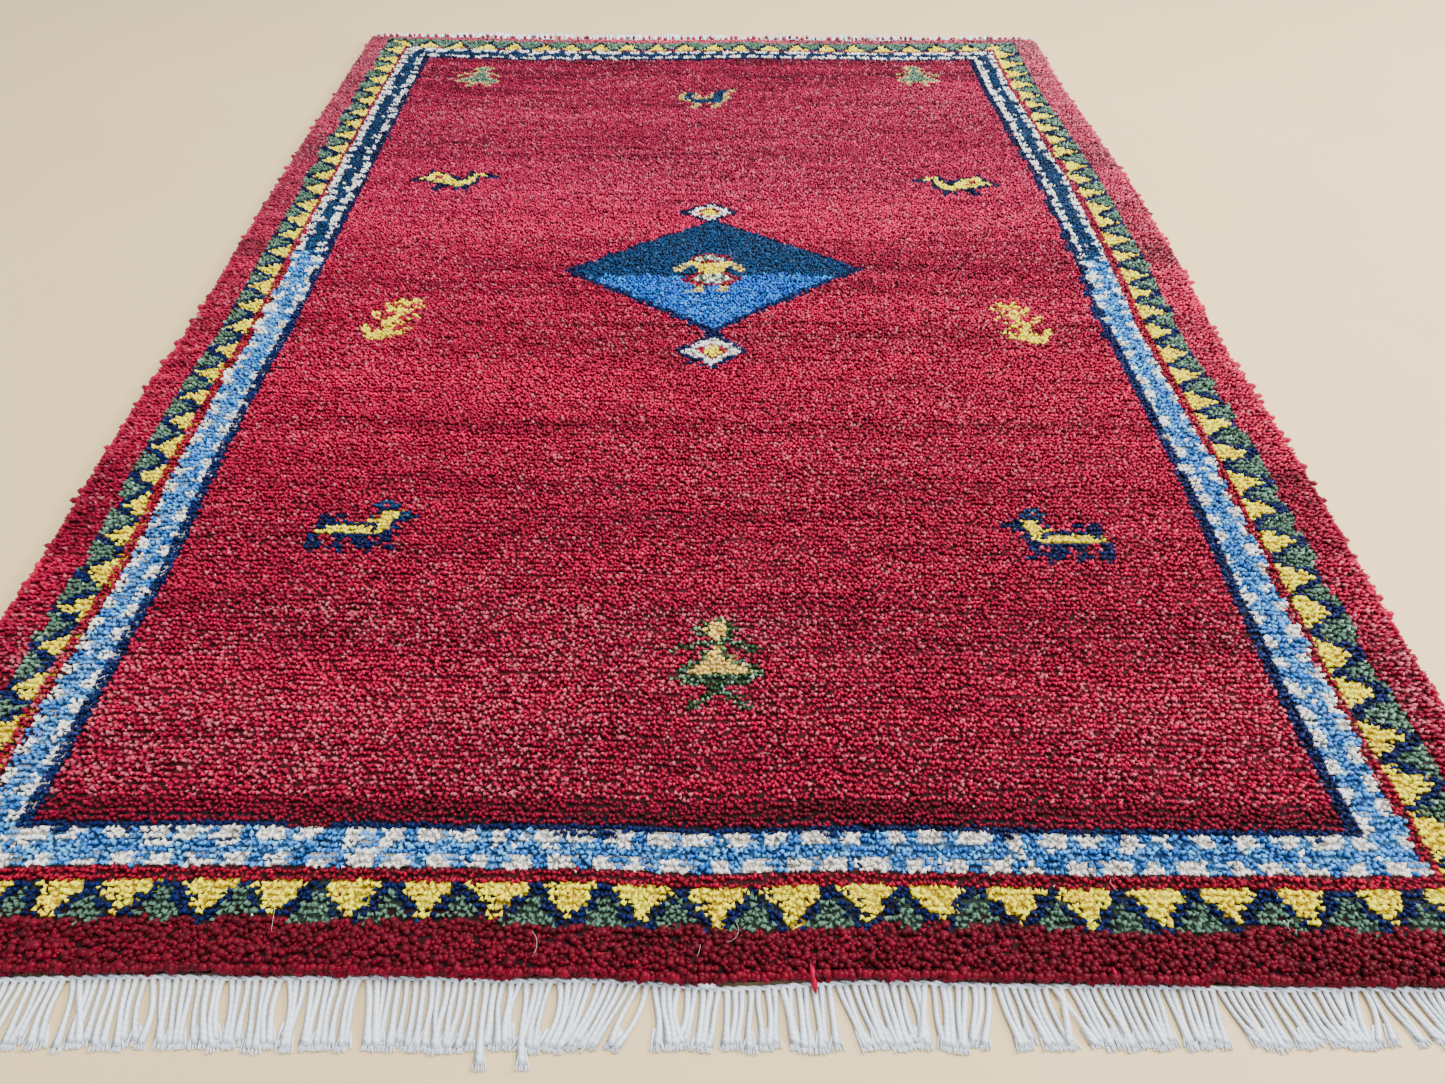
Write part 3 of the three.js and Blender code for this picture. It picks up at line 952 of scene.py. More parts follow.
def foundation_material():
    """The knotted back: small hard loops of wool between cotton wefts."""
    material, nodes, links, shader = new_material("knotted_back")
    dye = node(nodes, "ShaderNodeAttribute", attribute_name="dye")
    place = node(nodes, "ShaderNodeTexCoord")
    loops = node(nodes, "ShaderNodeTexBrick", {
        "Scale": 1 / ROW_PITCH, "Brick Width": 0.5, "Row Height": 1.0,
        "Mortar Size": 0.12, "Mortar Smooth": 0.8, "Mortar": (0.42, 0.40, 0.38, 1),
        "Color1": (1, 1, 1, 1), "Color2": (0.86, 0.86, 0.86, 1),
    })
    links.new(place.outputs["Object"], loops.inputs["Vector"])
    mixed = node(nodes, "ShaderNodeVectorMath", operation="MULTIPLY")
    links.new(dye.outputs["Color"], mixed.inputs[0])
    links.new(loops.outputs["Color"], mixed.inputs[1])
    links.new(mixed.outputs["Vector"], shader.inputs["Base Color"])
    bumped(nodes, links, loops.outputs["Fac"], -0.5, 0.6 * MM, shader)
    set_inputs(shader, {"Roughness": 0.85, "Specular IOR Level": 0.2})
    return material


def cotton_material(name, turns_per_sheet, plies, twists):
    """Twisted white cotton, darkened toward the floor as painted shade, with ply lines slantwise over its
    own map, their grooves darker as painted shade.
    """
    material, nodes, links, shader = new_material(name)
    sheet = node(nodes, "ShaderNodeUVMap", uv_map="OFBake")
    parts = node(nodes, "ShaderNodeSeparateXYZ")
    links.new(sheet.outputs["UV"], parts.inputs["Vector"])
    all_turns = turns_per_sheet * plies * math.tau
    around = node(nodes, "ShaderNodeMath", {1: all_turns}, operation="MULTIPLY")
    links.new(parts.outputs["X"], around.inputs[0])
    along = node(nodes, "ShaderNodeMath", {1: twists * math.tau}, operation="MULTIPLY_ADD")
    links.new(parts.outputs["Y"], along.inputs[0])
    links.new(around.outputs["Value"], along.inputs[2])
    wave = node(nodes, "ShaderNodeMath", operation="SINE")
    links.new(along.outputs["Value"], wave.inputs[0])
    lift = node(nodes, "ShaderNodeMath", {1: 0.5, 2: 0.5}, operation="MULTIPLY_ADD")
    links.new(wave.outputs["Value"], lift.inputs[0])
    white = linear(bpy.context.scene.rug_dyes.cotton)
    # Painted shade: the ply grooves, which the bump lowers, are also painted darker.
    groove_shaded_whites = {6: (*(white * 0.86), 1), 7: (*white, 1)}
    colour = node(nodes, "ShaderNodeMix", groove_shaded_whites, data_type="RGBA")
    links.new(lift.outputs["Value"], colour.inputs["Factor"])
    fibres = object_noise(nodes, links, 1400.0, 2.0)
    shade = tinted(nodes, links, colour.outputs[2], fibres, 0.90, 1.10)
    place = node(nodes, "ShaderNodeTexCoord")
    level = node(nodes, "ShaderNodeSeparateXYZ")
    links.new(place.outputs["Object"], level.inputs["Vector"])
    # Painted shade: the cotton darkens toward the floor, down each strand's sides and in the gaps between
    # strands.
    grey = map_range(nodes, 0.5 * MM, 2.3 * MM, 0.14, 1.0)
    links.new(level.outputs["Z"], grey.inputs["Value"])
    white_with_painted_shade = node(nodes, "ShaderNodeVectorMath", operation="SCALE")
    links.new(shade, white_with_painted_shade.inputs[0])
    links.new(grey.outputs["Result"], white_with_painted_shade.inputs["Scale"])
    links.new(white_with_painted_shade.outputs["Vector"], shader.inputs["Base Color"])
    bumped(nodes, links, lift.outputs["Value"], 0.45, 0.25 * MM, shader)
    set_inputs(shader, {
        "Roughness": 0.8, "Specular IOR Level": 0.25, "Sheen Weight": 0.2, "Sheen Roughness": 0.5,
    })
    return material


def frayed_material(name):
    """Loose cotton fibres, at the cut ends of the fringe and in the end cords."""
    material, nodes, links, shader = new_material(name)
    white = node(nodes, "ShaderNodeRGB")
    white.outputs[0].default_value = (*linear(bpy.context.scene.rug_dyes.cotton), 1)
    fibres = object_noise(nodes, links, 2200.0, 2.0)
    links.new(tinted(nodes, links, white.outputs[0], fibres, 0.92, 1.10), shader.inputs["Base Color"])
    bumped(nodes, links, fibres.outputs["Fac"], 0.3, 0.2 * MM, shader)
    set_inputs(shader, {"Roughness": 0.85, "Specular IOR Level": 0.2, "Sheen Weight": 0.25})
    return material


# The pieces.


# The two ends of a knot: their places in it, and how far the pair can slant along the rug.
PAIR = (-0.25, 0.25)
PAIR_SLANT = 5.2 * MM
# How far ends scatter across, and, in the near guard and elsewhere, along the rug, in mm.
SCATTER_ACROSS = 0.9 * MM
SCATTER_ALONG = (1.7, 0.8)
ROW_WANDER = (0.3, 1.1)
# How near the sides and the ends the pile rounds off, how far, and how far its tips lean out.
ROUND_SIDE, ROUND_END = 5.0 * MM, 4.5 * MM
RIM_DROP = 2.3 * MM
SIDE_BULGE, END_BULGE = 1.0 * MM, 1.6 * MM
OUTWARD_LEAN, OUTWARD_LEAN_SPAN = 1.9 * MM, 26 * MM
# How far tips scatter across and along, and how uneven the pile is in patches.
TIP_ACROSS, TIP_ALONG = 0.9 * MM, 1.1 * MM
PATCHES = 0.5 * MM
# How much lower, in mm, and how much thicker the ends are in the near guard.
GUARD_DROP, GUARD_THICKER = 0.8, 1.15


def pile_places(chance):
    """Foot and tip of each cut end, two to a knot, with its radius and its turn."""
    sizes = bpy.context.scene.rug_sizes
    shape = (KNOT_ROWS, KNOTS_ACROSS, ENDS_PER_KNOT)
    x = ((np.arange(KNOTS_ACROSS) + 0.5) * KNOT_PITCH - HALF_WIDTH)[None, :, None]
    y = ((np.arange(KNOT_ROWS) + 0.5) * ROW_PITCH - HALF_LENGTH)[:, None, None]
    pair = np.array(PAIR)[None, None, :]
    slant = chance.uniform(-1, 1, shape[:2] + (1,))
    x = x + KNOT_PITCH * pair + SCATTER_ACROSS * chance.uniform(-1, 1, shape)
    in_guard = (np.arange(KNOT_ROWS) < GUARD_DEPTH)[:, None, None]
    scatter = np.where(in_guard, *SCATTER_ALONG) * MM * chance.uniform(-1, 1, shape)
    y = y + PAIR_SLANT * pair * slant + scatter
    wander = smooth_noise(shape[:2], (1.3, 5), chance)[..., None]
    y = y + np.where(in_guard, *ROW_WANDER) * MM * wander
    x = np.clip(x, -HALF_WIDTH + MM, HALF_WIDTH - MM)
    y = np.clip(y, -HALF_LENGTH + MM, HALF_LENGTH - MM)
    from_side, from_end = HALF_WIDTH - np.abs(x), HALF_LENGTH - np.abs(y)
    out_side = np.exp(-((from_side / ROUND_SIDE) ** 2))
    out_end = np.exp(-((from_end / ROUND_END) ** 2))
    foot_x, foot_y = warp(x, y)
    top = pile_top(foot_x, foot_y) + sizes.height_spread * chance.normal(0, 1, shape).clip(-2.2, 2.2)
    top = top + PATCHES * smooth_noise(shape[:2], (4, 5), chance)[..., None]
    top = top - RIM_DROP * np.maximum(out_side, out_end) - np.where(in_guard, GUARD_DROP, 0) * MM
    tip_x = foot_x + TIP_ACROSS * chance.uniform(-1, 1, shape) + np.sign(x) * SIDE_BULGE * out_side
    tip_x = tip_x + np.sign(x) * OUTWARD_LEAN * np.exp(-((from_side / OUTWARD_LEAN_SPAN) ** 2))
    tip_y = foot_y - sizes.pile_lean + TIP_ALONG * chance.uniform(-1, 1, shape)
    tip_y = tip_y + np.sign(y) * END_BULGE * out_end
    foot = np.stack((foot_x, foot_y, top - sizes.tuft_height), axis=-1)
    tip = np.stack((tip_x, tip_y, top), axis=-1)
    radius = sizes.tuft_radius * (1 + 0.12 * chance.normal(0, 1, shape).clip(-2, 2))
    radius = radius * np.where(in_guard, GUARD_THICKER, 1.0)
    return foot, tip, radius, chance.uniform(0, math.tau, shape)


class GABBEH_OT_pile(bpy.types.Operator):
    """Knots the wool pile, two cut ends for each knot of the chart, in five strips"""

    bl_idname = "gabbeh.pile"
    bl_label = "Knot the pile"

    def execute(self, context):
        chance = np.random.default_rng(20)
        points, faces = tuft_model()
        knots = rug_chart()
        colours = knot_colours(knots, context.scene.rug_dyes)
        feet = np.repeat(colours[:, :, None, :], ENDS_PER_KNOT, axis=2)
        # Painted highlights, and here and there painted glints, on the ends.
        ends = tip_colours(feet)
        # Painted shade at the feet, deeper for the reds.
        feet = shaded(feet, np.where(knots <= RED, 0.26, 0.44)[..., None], 0.66)
        foot, tip, radius, turn = pile_places(chance)
        for number, rows in enumerate(np.array_split(np.arange(KNOT_ROWS), PILE_STRIPS), 1):
            piece = tufts(
                f"pile_strip_{number}", points, faces, tuft_sheet(points, faces),
                foot[rows].reshape(-1, 3), tip[rows].reshape(-1, 3),
                radius[rows].ravel(), turn[rows].ravel(),
                feet[rows].reshape(-1, 3), ends[rows].reshape(-1, 3), chance,
            )
            finish_wool(piece)
        lay_guard_knots(colours, chance)
        return {"FINISHED"}


# Rows and columns of plump ends over the near guard, and how many knots deep they lie.
GUARD_ENDS = (8, 226, 6.6)
# Their radius, how far their feet lie under their tips, how far they lean, and how much of
# the knot's colour their feet and their tips keep, as painted shade that is darkest at the feet.
PLUMP_RADIUS = 2.4 * MM
PLUMP_HEIGHT = 4.0 * MM
PLUMP_LEAN = 1.9 * MM
PLUMP_PAINTED_SHADING = (0.13, 0.76)


def lay_guard_knots(colours, chance):
    """Packs plump rounded ends of wool over the near guard band."""
    rows, columns, deep = GUARD_ENDS
    shape = (rows, columns)
    points, faces = curl_model()
    brick = 0.5 * (np.arange(rows) % 2)[:, None]
    across = (np.arange(columns) + 0.5 + brick + 0.42 * chance.uniform(-1, 1, shape)) / (columns + 0.5)
    along = (np.arange(rows)[:, None] + 0.45 + 0.45 * chance.uniform(-1, 1, shape)) * deep / rows
    across, along = np.clip(across, 0.002, 0.998), np.clip(along, 0.2, deep)
    is_guard = rug_chart()[along.astype(int), (across * KNOTS_ACROSS).astype(int)] == GUARD
    across, along = across[is_guard], along[is_guard]
    count = len(across)
    flat_x, flat_y = (across - 0.5) * RUG_WIDTH, along * ROW_PITCH - HALF_LENGTH
    x, y = warp(flat_x, flat_y)
    low = np.exp(-((along * ROW_PITCH / (4.5 * MM)) ** 2))
    top = pile_top(x, y) + 0.55 * MM * chance.normal(0, 1, count).clip(-2, 2) - 2.0 * MM * low
    foot = np.stack((x, y, top - PLUMP_HEIGHT), axis=1)
    lean = PLUMP_LEAN * chance.uniform(-1, 1, (count, 2))
    tip = np.stack((x + lean[:, 0], y + lean[:, 1] - 0.6 * MM - 0.8 * MM * low, top), axis=1)
    radius = PLUMP_RADIUS * (1 + 0.20 * chance.normal(0, 1, count).clip(-1.8, 1.8))
    dyes = colours[along.astype(int), (across * KNOTS_ACROSS).astype(int)]
    dyes = dyes * (1 + 0.14 * chance.normal(0, 1, (count, 1)).clip(-2, 2))
    turn = chance.uniform(0, math.tau, count)
    dark, light = PLUMP_PAINTED_SHADING
    piece = tufts(
        "guard_knots", points, faces, curl_sheet(faces), foot, tip, radius, turn,
        dyes * dark, dyes * light, chance,
    )
    finish_wool(piece)


# Layers of locks round the rim: height of the tip, height of the foot, how far they reach.
RIM_LAYERS = ((9.6, 7.8, 1.0), (7.6, 6.2, 1.8), (5.2, 4.2, 1.4), (3.0, 2.6, 0.8))


# Knots along each side, and how many locks stand there for one of them.
SIDE_KNOTS = {"left": KNOT_ROWS, "right": KNOT_ROWS, "near": KNOTS_ACROSS, "far": KNOTS_ACROSS}
LOCKS_PER_KNOT = 1.35
# How far inside the edge locks and curls are rooted, their radii, and how much of the
# knot's colour their feet and their tips keep: painted shade at the feet, a painted highlight at the
# tips.
LOCK_INSET, CURL_INSET = 3.6 * MM, 3.4 * MM
LOCK_RADIUS, CURL_RADIUS = 2.4 * MM, 3.1 * MM
LOCK_PAINTED_SHADING, CURL_PAINTED_SHADING = (0.3, 1.25), (0.7, 1.1)


def rim_walk(side, share):
    """Points along one side of the rug, the way out from it and how boldly locks stand there."""
    level = np.full(share.shape, 1.0)
    if side in ("left", "right"):
        out = -1 if side == "left" else 1
        return out * HALF_WIDTH * level, (share - 0.5) * RUG_LENGTH, (out, 0), 1.0
    out = -1 if side == "near" else 1
    return (share - 0.5) * RUG_WIDTH, out * HALF_LENGTH * level, (0, out), 1.25 if out < 0 else 0.6


def lock_ends(x, y, way_out, inset, out, sway, heights):
    """Feet and tips of locks that stand out over the rim: heights are those of foot and tip."""
    out_x, out_y = way_out
    foot = np.stack((x - out_x * inset, y - out_y * inset, heights[0]), axis=1)
    tip = np.stack((x + out_x * out + out_y * sway, y + out_y * out + out_x * sway, heights[1]), axis=1)
    return foot, tip


def edge_dyes(colours, x, y):
    """The colours of the knots at these points of the flat rug."""
    column = np.clip((x / RUG_WIDTH + 0.5) * KNOTS_ACROSS, 0, KNOTS_ACROSS - 1).astype(int)
    row = np.clip((y / RUG_LENGTH + 0.5) * KNOT_ROWS, 0, KNOT_ROWS - 1).astype(int)
    return colours[row, column]


def joined_locks(name, locks, at_foot, at_tip, chance):
    """One piece of all these locks: each has feet, tips, radii and dyes."""
    points, faces = curl_model()
    foot, tip, radius, dyes = (np.concatenate(part) for part in zip(*locks))
    turn = chance.uniform(0, math.tau, len(radius))
    sheet = curl_sheet(faces)
    dark, light = dyes * at_foot, dyes * at_tip
    piece = tufts(name, points, faces, sheet, foot, tip, radius, turn, dark, light, chance)
    finish_wool(piece)


class GABBEH_OT_rim(bpy.types.Operator):
    """Lays the locks of wool that stand out round the rug's rim"""

    bl_idname = "gabbeh.rim"
    bl_label = "Lay the rim locks"

    def execute(self, context):
        chance = np.random.default_rng(31)
        colours = knot_colours(rug_chart(), context.scene.rug_dyes)
        locks = []
        for tip_height, foot_height, reach in RIM_LAYERS:
            for side, knots in SIDE_KNOTS.items():
                if side in ("near", "far") and tip_height < 4:
                    continue
                count = int(knots * LOCKS_PER_KNOT)
                share = (np.arange(count) + 0.5 + 0.4 * chance.uniform(-1, 1, count)) / count
                edge_x, edge_y, way_out, bold = rim_walk(side, share)
                x, y = warp(edge_x, edge_y)
                lumps = 1.7 * smooth_noise((count,), (2.4,), chance)
                out = (reach * chance.uniform(0.2, 1.2, count) + lumps) * MM * bold
                sway = 1.6 * MM * chance.uniform(-1, 1, count)
                height = tip_height * MM + 0.9 * MM * chance.normal(0, 1, count).clip(-1.6, 1.6)
                heights = (np.full(count, foot_height * MM), height)
                foot, tip = lock_ends(x, y, way_out, LOCK_INSET, out, sway, heights)
                radius = LOCK_RADIUS * (1 + 0.16 * chance.normal(0, 1, count).clip(-2, 2))
                locks.append((foot, tip, radius, edge_dyes(colours, edge_x, edge_y)))
        joined_locks("rim_locks", locks, *LOCK_PAINTED_SHADING, chance)
        lay_curls(colours, chance)
        return {"FINISHED"}


# Rounded curls that stand out past the rim: side, how many, how far out, height, in mm.
CURLS = (("left", 84, 7.0, 7.0), ("right", 84, 6.6, 8.0), ("near", 30, 3.0, 8.0), ("far", 90, 3.2, 13.2))


def lay_curls(colours, chance):
    """Sets single rounded curls of wool along the rim."""
    locks = []
    for side, count, reach, high in CURLS:
        share = (np.arange(count) + 0.5 + 0.48 * chance.uniform(-1, 1, count)) / count
        edge_x, edge_y, way_out, _ = rim_walk(side, share)
        x, y = warp(edge_x, edge_y)
        out = reach * MM * chance.uniform(0.35, 1.25, count)
        height = (high + 1.4 * chance.uniform(-1, 1, count)) * MM
        sway = 1.4 * MM * chance.uniform(-1, 1, count)
        heights = (height - 1.0 * MM, height)
        foot, tip = lock_ends(x, y, way_out, CURL_INSET, out, sway, heights)
        radius = CURL_RADIUS * (1 + 0.20 * chance.uniform(-1, 1, count))
        locks.append((foot, tip, radius, edge_dyes(colours, edge_x, edge_y)))
    joined_locks("rim_curls", locks, *CURL_PAINTED_SHADING, chance)


def strand_model(steps, sides=4, repeats=1):
    """A straight strand drawn out ring by ring along Y and repeated end to end, a metre long."""
    deselect_all()
    bpy.ops.mesh.primitive_circle_add(
        vertices=sides, radius=1, fill_type="NOTHING", rotation=(math.pi / 2, 0, 0)
    )
    strand = name_piece("strand_model")
    bpy.ops.object.transform_apply(location=True, rotation=True, scale=True)
    bpy.ops.object.mode_set(mode="EDIT")
    bpy.ops.mesh.select_all(action="SELECT")
    for _ in range(steps):
        bpy.ops.mesh.extrude_region_move(TRANSFORM_OT_translate={"value": (0, 1 / steps / repeats, 0)})
    bpy.ops.object.mode_set(mode="OBJECT")
    if repeats > 1:
        row = strand.modifiers.new("repeats", "ARRAY")
        row.count = repeats
        row.use_relative_offset = False
        row.use_constant_offset = True
        row.constant_offset_displace = (0, 1 / repeats, 0)
        row.use_merge_vertices = True
        row.merge_threshold = 0.1 / steps / repeats
        bpy.ops.object.modifier_apply(modifier=row.name)
    bpy.ops.object.mode_set(mode="EDIT")
    bpy.ops.mesh.select_all(action="SELECT")
    bpy.ops.mesh.fill_holes(sides=sides)
    make_normals_outward(strand)
    return take_model(strand)


def strip_layout(points, faces):
    """A strand's sides laid out flat in a cell of one by one, its two ends in the margins."""
    spots = []
    for face in faces:
        along = points[list(face), 1]
        around = (np.arctan2(points[list(face), 2], points[list(face), 0]) / math.tau) % 1
        if along.max() - along.min() < 1e-6:
            level = 0.0095 if along.mean() < 0.5 else 0.9905
            for i in face:
                spots.append((0.5 + 0.4 * points[i, 0], level + 0.008 * points[i, 2]))
            continue
        if around.max() - around.min() > 0.5:
            around = np.where(around < 0.5, around + 1, around)
        for a, b in zip(around, along):
            spots.append((0.04 + 0.92 * min(a, 1.25) / 1.25, 0.02 + 0.96 * b))
    return np.array(spots)


def strip_sheet(copies, strip):
    """The strips of all copies, side by side across one sheet."""
    spots = np.broadcast_to(strip, (copies,) + strip.shape).copy()
    spots[..., 0] = (spots[..., 0] + np.arange(copies)[:, None]) / copies
    return spots


# Places at the near end where the strands are swept sideways: from, to and how far, in mm.
NEAR_SWEEPS = ((-66, -36, -15), (-30, -10, 6), (300, 370, 9), (395, 470, 12), (-500, -420, -7))
# Open gaps at the near end: where, and how wide, in mm.
NEAR_GAPS = (
    (-33, 7), (-11, 7), (384, 7), (-363, 8), (-317, 7), (-275, 6), (-239, 7), (-196, 6), (-99, 6),
    (-83, 7), (120, 4), (205, 5),
)


# Rings along a strand, and how far round a sine its sway, its push and its rumple go.
STRAND_STEPS = 12
SWAY_ARC = 5.5
PUSH_ARC = 2.9
RUMPLE_ARC = 1.9
# How far the wisps begin before a strand's tip, and how many fan out there.
WISP_START = 9.5 * MM
WISPS_PER_STRAND = 8


def cord_line(end, x):
    """The wandering line of the end cord, along the edge of the pile."""
    wander = 0.55 * np.sin(x / (23 * MM)) + 0.45 * np.sin(x / (61 * MM) + 1)
    if end < 0:
        past = (x - 4 * MM) / MM
        wander = wander + 0.8 * np.clip(past / 4, 0, 1) * np.exp(-np.maximum(past, 0) / 30)
    return edge_line(end, x) + end * (EDGE_GAP + (0.9 + wander) * MM)


def strand_paths(end, count, chance):
    """Root, sideways drift, tip, push aside at the middle and crossings of each strand."""
    x = np.linspace(-HALF_WIDTH + 6 * MM, HALF_WIDTH - 6 * MM, count)
    x = x + 0.6 * MM * chance.uniform(-1, 1, count)
    drift = fringe_lean(end, x) + 1.4 * MM * chance.normal(0, 1, count).clip(-2.2, 2.2)
    if end < 0:
        for first, last, sweep in NEAR_SWEEPS:
            drift = np.where((x > first * MM) & (x < last * MM), sweep * MM + 0.3 * drift, drift)
    group = np.cumsum(chance.uniform(0, 1, count) < 0.38)
    aim = x + drift
    middle = np.array([aim[group == g].mean() for g in group])
    drift = drift + 0.27 * (middle - aim)
    places = chance.uniform(-HALF_WIDTH, HALF_WIDTH, 20)
    widths = chance.uniform(1.0, 2.8, 20) * MM
    if end < 0:
        places = np.concatenate((places, [g[0] * MM for g in NEAR_GAPS]))
        widths = np.concatenate((widths, [g[1] * MM for g in NEAR_GAPS]))
    away = x[:, None] - places[None, :]
    push = (np.sign(away) * widths / 2 * np.exp(-np.abs(away) / (6 * MM))).sum(axis=1)
    reach = STRAND_REACH + STRAND_REACH_SPREAD * chance.normal(0, 0.3, count).clip(-1, 1)
    if end < 0:
        reach = reach * (1 - 0.11 * np.clip((-x - 120 * MM) / (400 * MM), 0, 1))
    crossing = chance.uniform(0, 1, count) < 0.07
    drift = np.where(crossing, drift + chance.choice((-8, 8), count) * MM, drift)
    if end < 0:
        for place in LONGEST_AT:
            longest = np.argmin(np.abs(x - place))
            reach[longest] = LONGEST_REACH
            drift[longest], push[longest] = place + 3 * MM - x[longest], 0
    return x, drift, reach, push, crossing


class GABBEH_OT_fringe(bpy.types.Operator):
    """Lays the twisted warp strands of both fringes, with their frayed tips"""

    bl_idname = "gabbeh.fringe"
    bl_label = "Lay the fringes"

    def execute(self, context):
        sizes = context.scene.rug_sizes
        points, faces = strand_model(STRAND_STEPS)
        wisp, wisp_faces = wisp_model()
        count = sizes.strands
        material = cotton_material("twisted_cotton", count, 2, 11)
        frayed = frayed_material("frayed_cotton")
        for name, end in (("near", -1), ("far", 1)):
            chance = np.random.default_rng(70 + end)
            x, drift, reach, push, crossing = strand_paths(end, count, chance)
            t = np.clip(points[:, 1], 0, 1)
            root = cord_line(end, x)
            tip = end * (HALF_LENGTH + reach - 4.4 * MM)
            bend = chance.uniform(-1, 1, count)[:, None] * 1.9 * MM
            phase = chance.uniform(0, math.tau, count)[:, None]
            sway = bend * np.sin(phase + SWAY_ARC * t) * t * (1 - 0.4 * t)
            pushed = push[:, None] * np.sin(PUSH_ARC * t)
            centre_x = x[:, None] + drift[:, None] * t ** 1.3 + sway + pushed
            centre_y = root[:, None] + (tip - root)[:, None] * t
            arch = np.where(crossing, 1.9, chance.uniform(0, 0.7, count))[:, None] * MM
            lift = arch * np.sin(math.pi * t) ** 0.7
            rumple = np.zeros(count)
            if end > 0:
                rumple = 3.4 * MM * np.clip(smooth_noise((count,), (5,), chance) + 0.45, 0, 1.3)
            lift = lift + rumple[:, None] * np.sin(RUMPLE_ARC * t)
            centre_z = 1.35 * MM + 1.2 * MM * np.exp(-((t / 0.15) ** 2)) + lift
            flare = np.clip((t - 0.60) / 0.40, 0, 1) ** 1.5
            opened = (0.55 + 0.50 * chance.uniform(0, 1, count))[:, None] * flare
            wide = sizes.strand_radius * (1 + opened)
            flat = sizes.strand_radius * (0.92 - 0.30 * flare)
            section = np.arctan2(points[:, 2], points[:, 0])
            round_x, round_z = np.cos(section), np.sin(section)
            squeeze = 0.86 + 0.14 * np.cos(2 * section)
            placed = np.empty((count, len(points), 3))
            placed[..., 0] = centre_x + wide * round_x * squeeze
            placed[..., 1] = centre_y
            placed[..., 2] = np.maximum(centre_z + flat * round_z * squeeze - 0.2 * MM, 0.02 * MM)
            if end > 0:
                placed[..., 0] = 2 * centre_x - placed[..., 0]
            piece = joined_copies(
                f"fringe_strands_{name}", faces, placed, strip_sheet(count, strip_layout(points, faces))
            )
            finish_piece(piece, COTTON_SLOT, material, f"fringe_{name}")
            swayed = bend[:, 0] * np.sin(phase[:, 0] + SWAY_ARC) * 0.6 + push * math.sin(PUSH_ARC)
            ends = np.stack((x + drift + swayed, tip, rumple * math.sin(RUMPLE_ARC)), axis=1)
            heading = np.arctan2(1.25 * drift, np.abs(tip - root))
            lay_wisps(f"fringe_wisps_{name}", end, ends, heading, wisp, wisp_faces, frayed, chance)
        return {"FINISHED"}


def wisp_model():
    """A blunt three-sided tuft of loose cotton, one unit long."""
    deselect_all()
    bpy.ops.mesh.primitive_cone_add(vertices=3, radius1=0.8, radius2=0.85, depth=1, location=(0, 0, 0.5))
    name_piece("wisp_model")
    bpy.ops.object.transform_apply(location=True, rotation=True, scale=True)
    return take_model(bpy.context.object)


def wisp_layout(faces):
    """A wisp's faces side by side in a cell of one by one."""
    spots = []
    for number, face in enumerate(faces):
        left = 0.03 + 0.19 * number
        corners = ((left, 0.1), (left + 0.15, 0.1), (left + 0.15, 0.9), (left, 0.9))
        spots.extend(corners[: len(face)])
    return np.array(spots)


def lay_wisps(name, end, tips, heading, wisp, faces, material, chance):
    """Fans blunt wisps of loose cotton out of each strand's tip."""
    each = WISPS_PER_STRAND
    copies = len(tips) * each
    spread = np.tile(np.linspace(-1, 1, each), len(tips)) + 0.22 * chance.uniform(-1, 1, copies)
    fan = np.repeat(heading, each) + 0.19 * spread + 0.05 * chance.uniform(-1, 1, copies)
    length = (12.5 + 0.7 * chance.uniform(-1, 1, copies)) * MM
    start = np.repeat(tips, each, axis=0)
    start[:, 0] += spread * 1.1 * MM - np.sin(np.repeat(heading, each)) * WISP_START
    start[:, 1] -= end * WISP_START
    start[:, 2] += (0.85 + 0.3 * chance.uniform(-1, 1, copies)) * MM
    rise = 0.03 * chance.uniform(-1.4, 1, copies)
    direction = np.stack((np.sin(fan), end * np.cos(fan), rise), axis=1)
    side = np.stack((np.cos(fan), -end * np.sin(fan), np.zeros(copies)), axis=1)
    along = direction[:, None, :] * (wisp[None, :, 2, None] * length[:, None, None])
    across = side[:, None, :] * (wisp[None, :, 0, None] * 0.85 * MM)
    placed = start[:, None, :] + along + across
    placed[..., 2] += wisp[None, :, 1] * 0.75 * MM
    placed[..., 2] = np.maximum(placed[..., 2], 0.03 * MM)
    piece = joined_copies(name, faces, placed, star_sheet(copies, wisp_layout(faces)))
    make_normals_outward(piece)
    finish_piece(piece, COTTON_SLOT, material, name.replace("_wisps", ""))


# Tails of crimson wool over the near cord: where, how far they hang and their width, in mm.
WOOL_TAILS = ((67.5, 10, 1.9), (-179.4, 4, 1.8), (-486, 4, 1.8), (243, 3, 1.7))
LINT_SPECKS = 44
LOOSE_HAIRS = 20


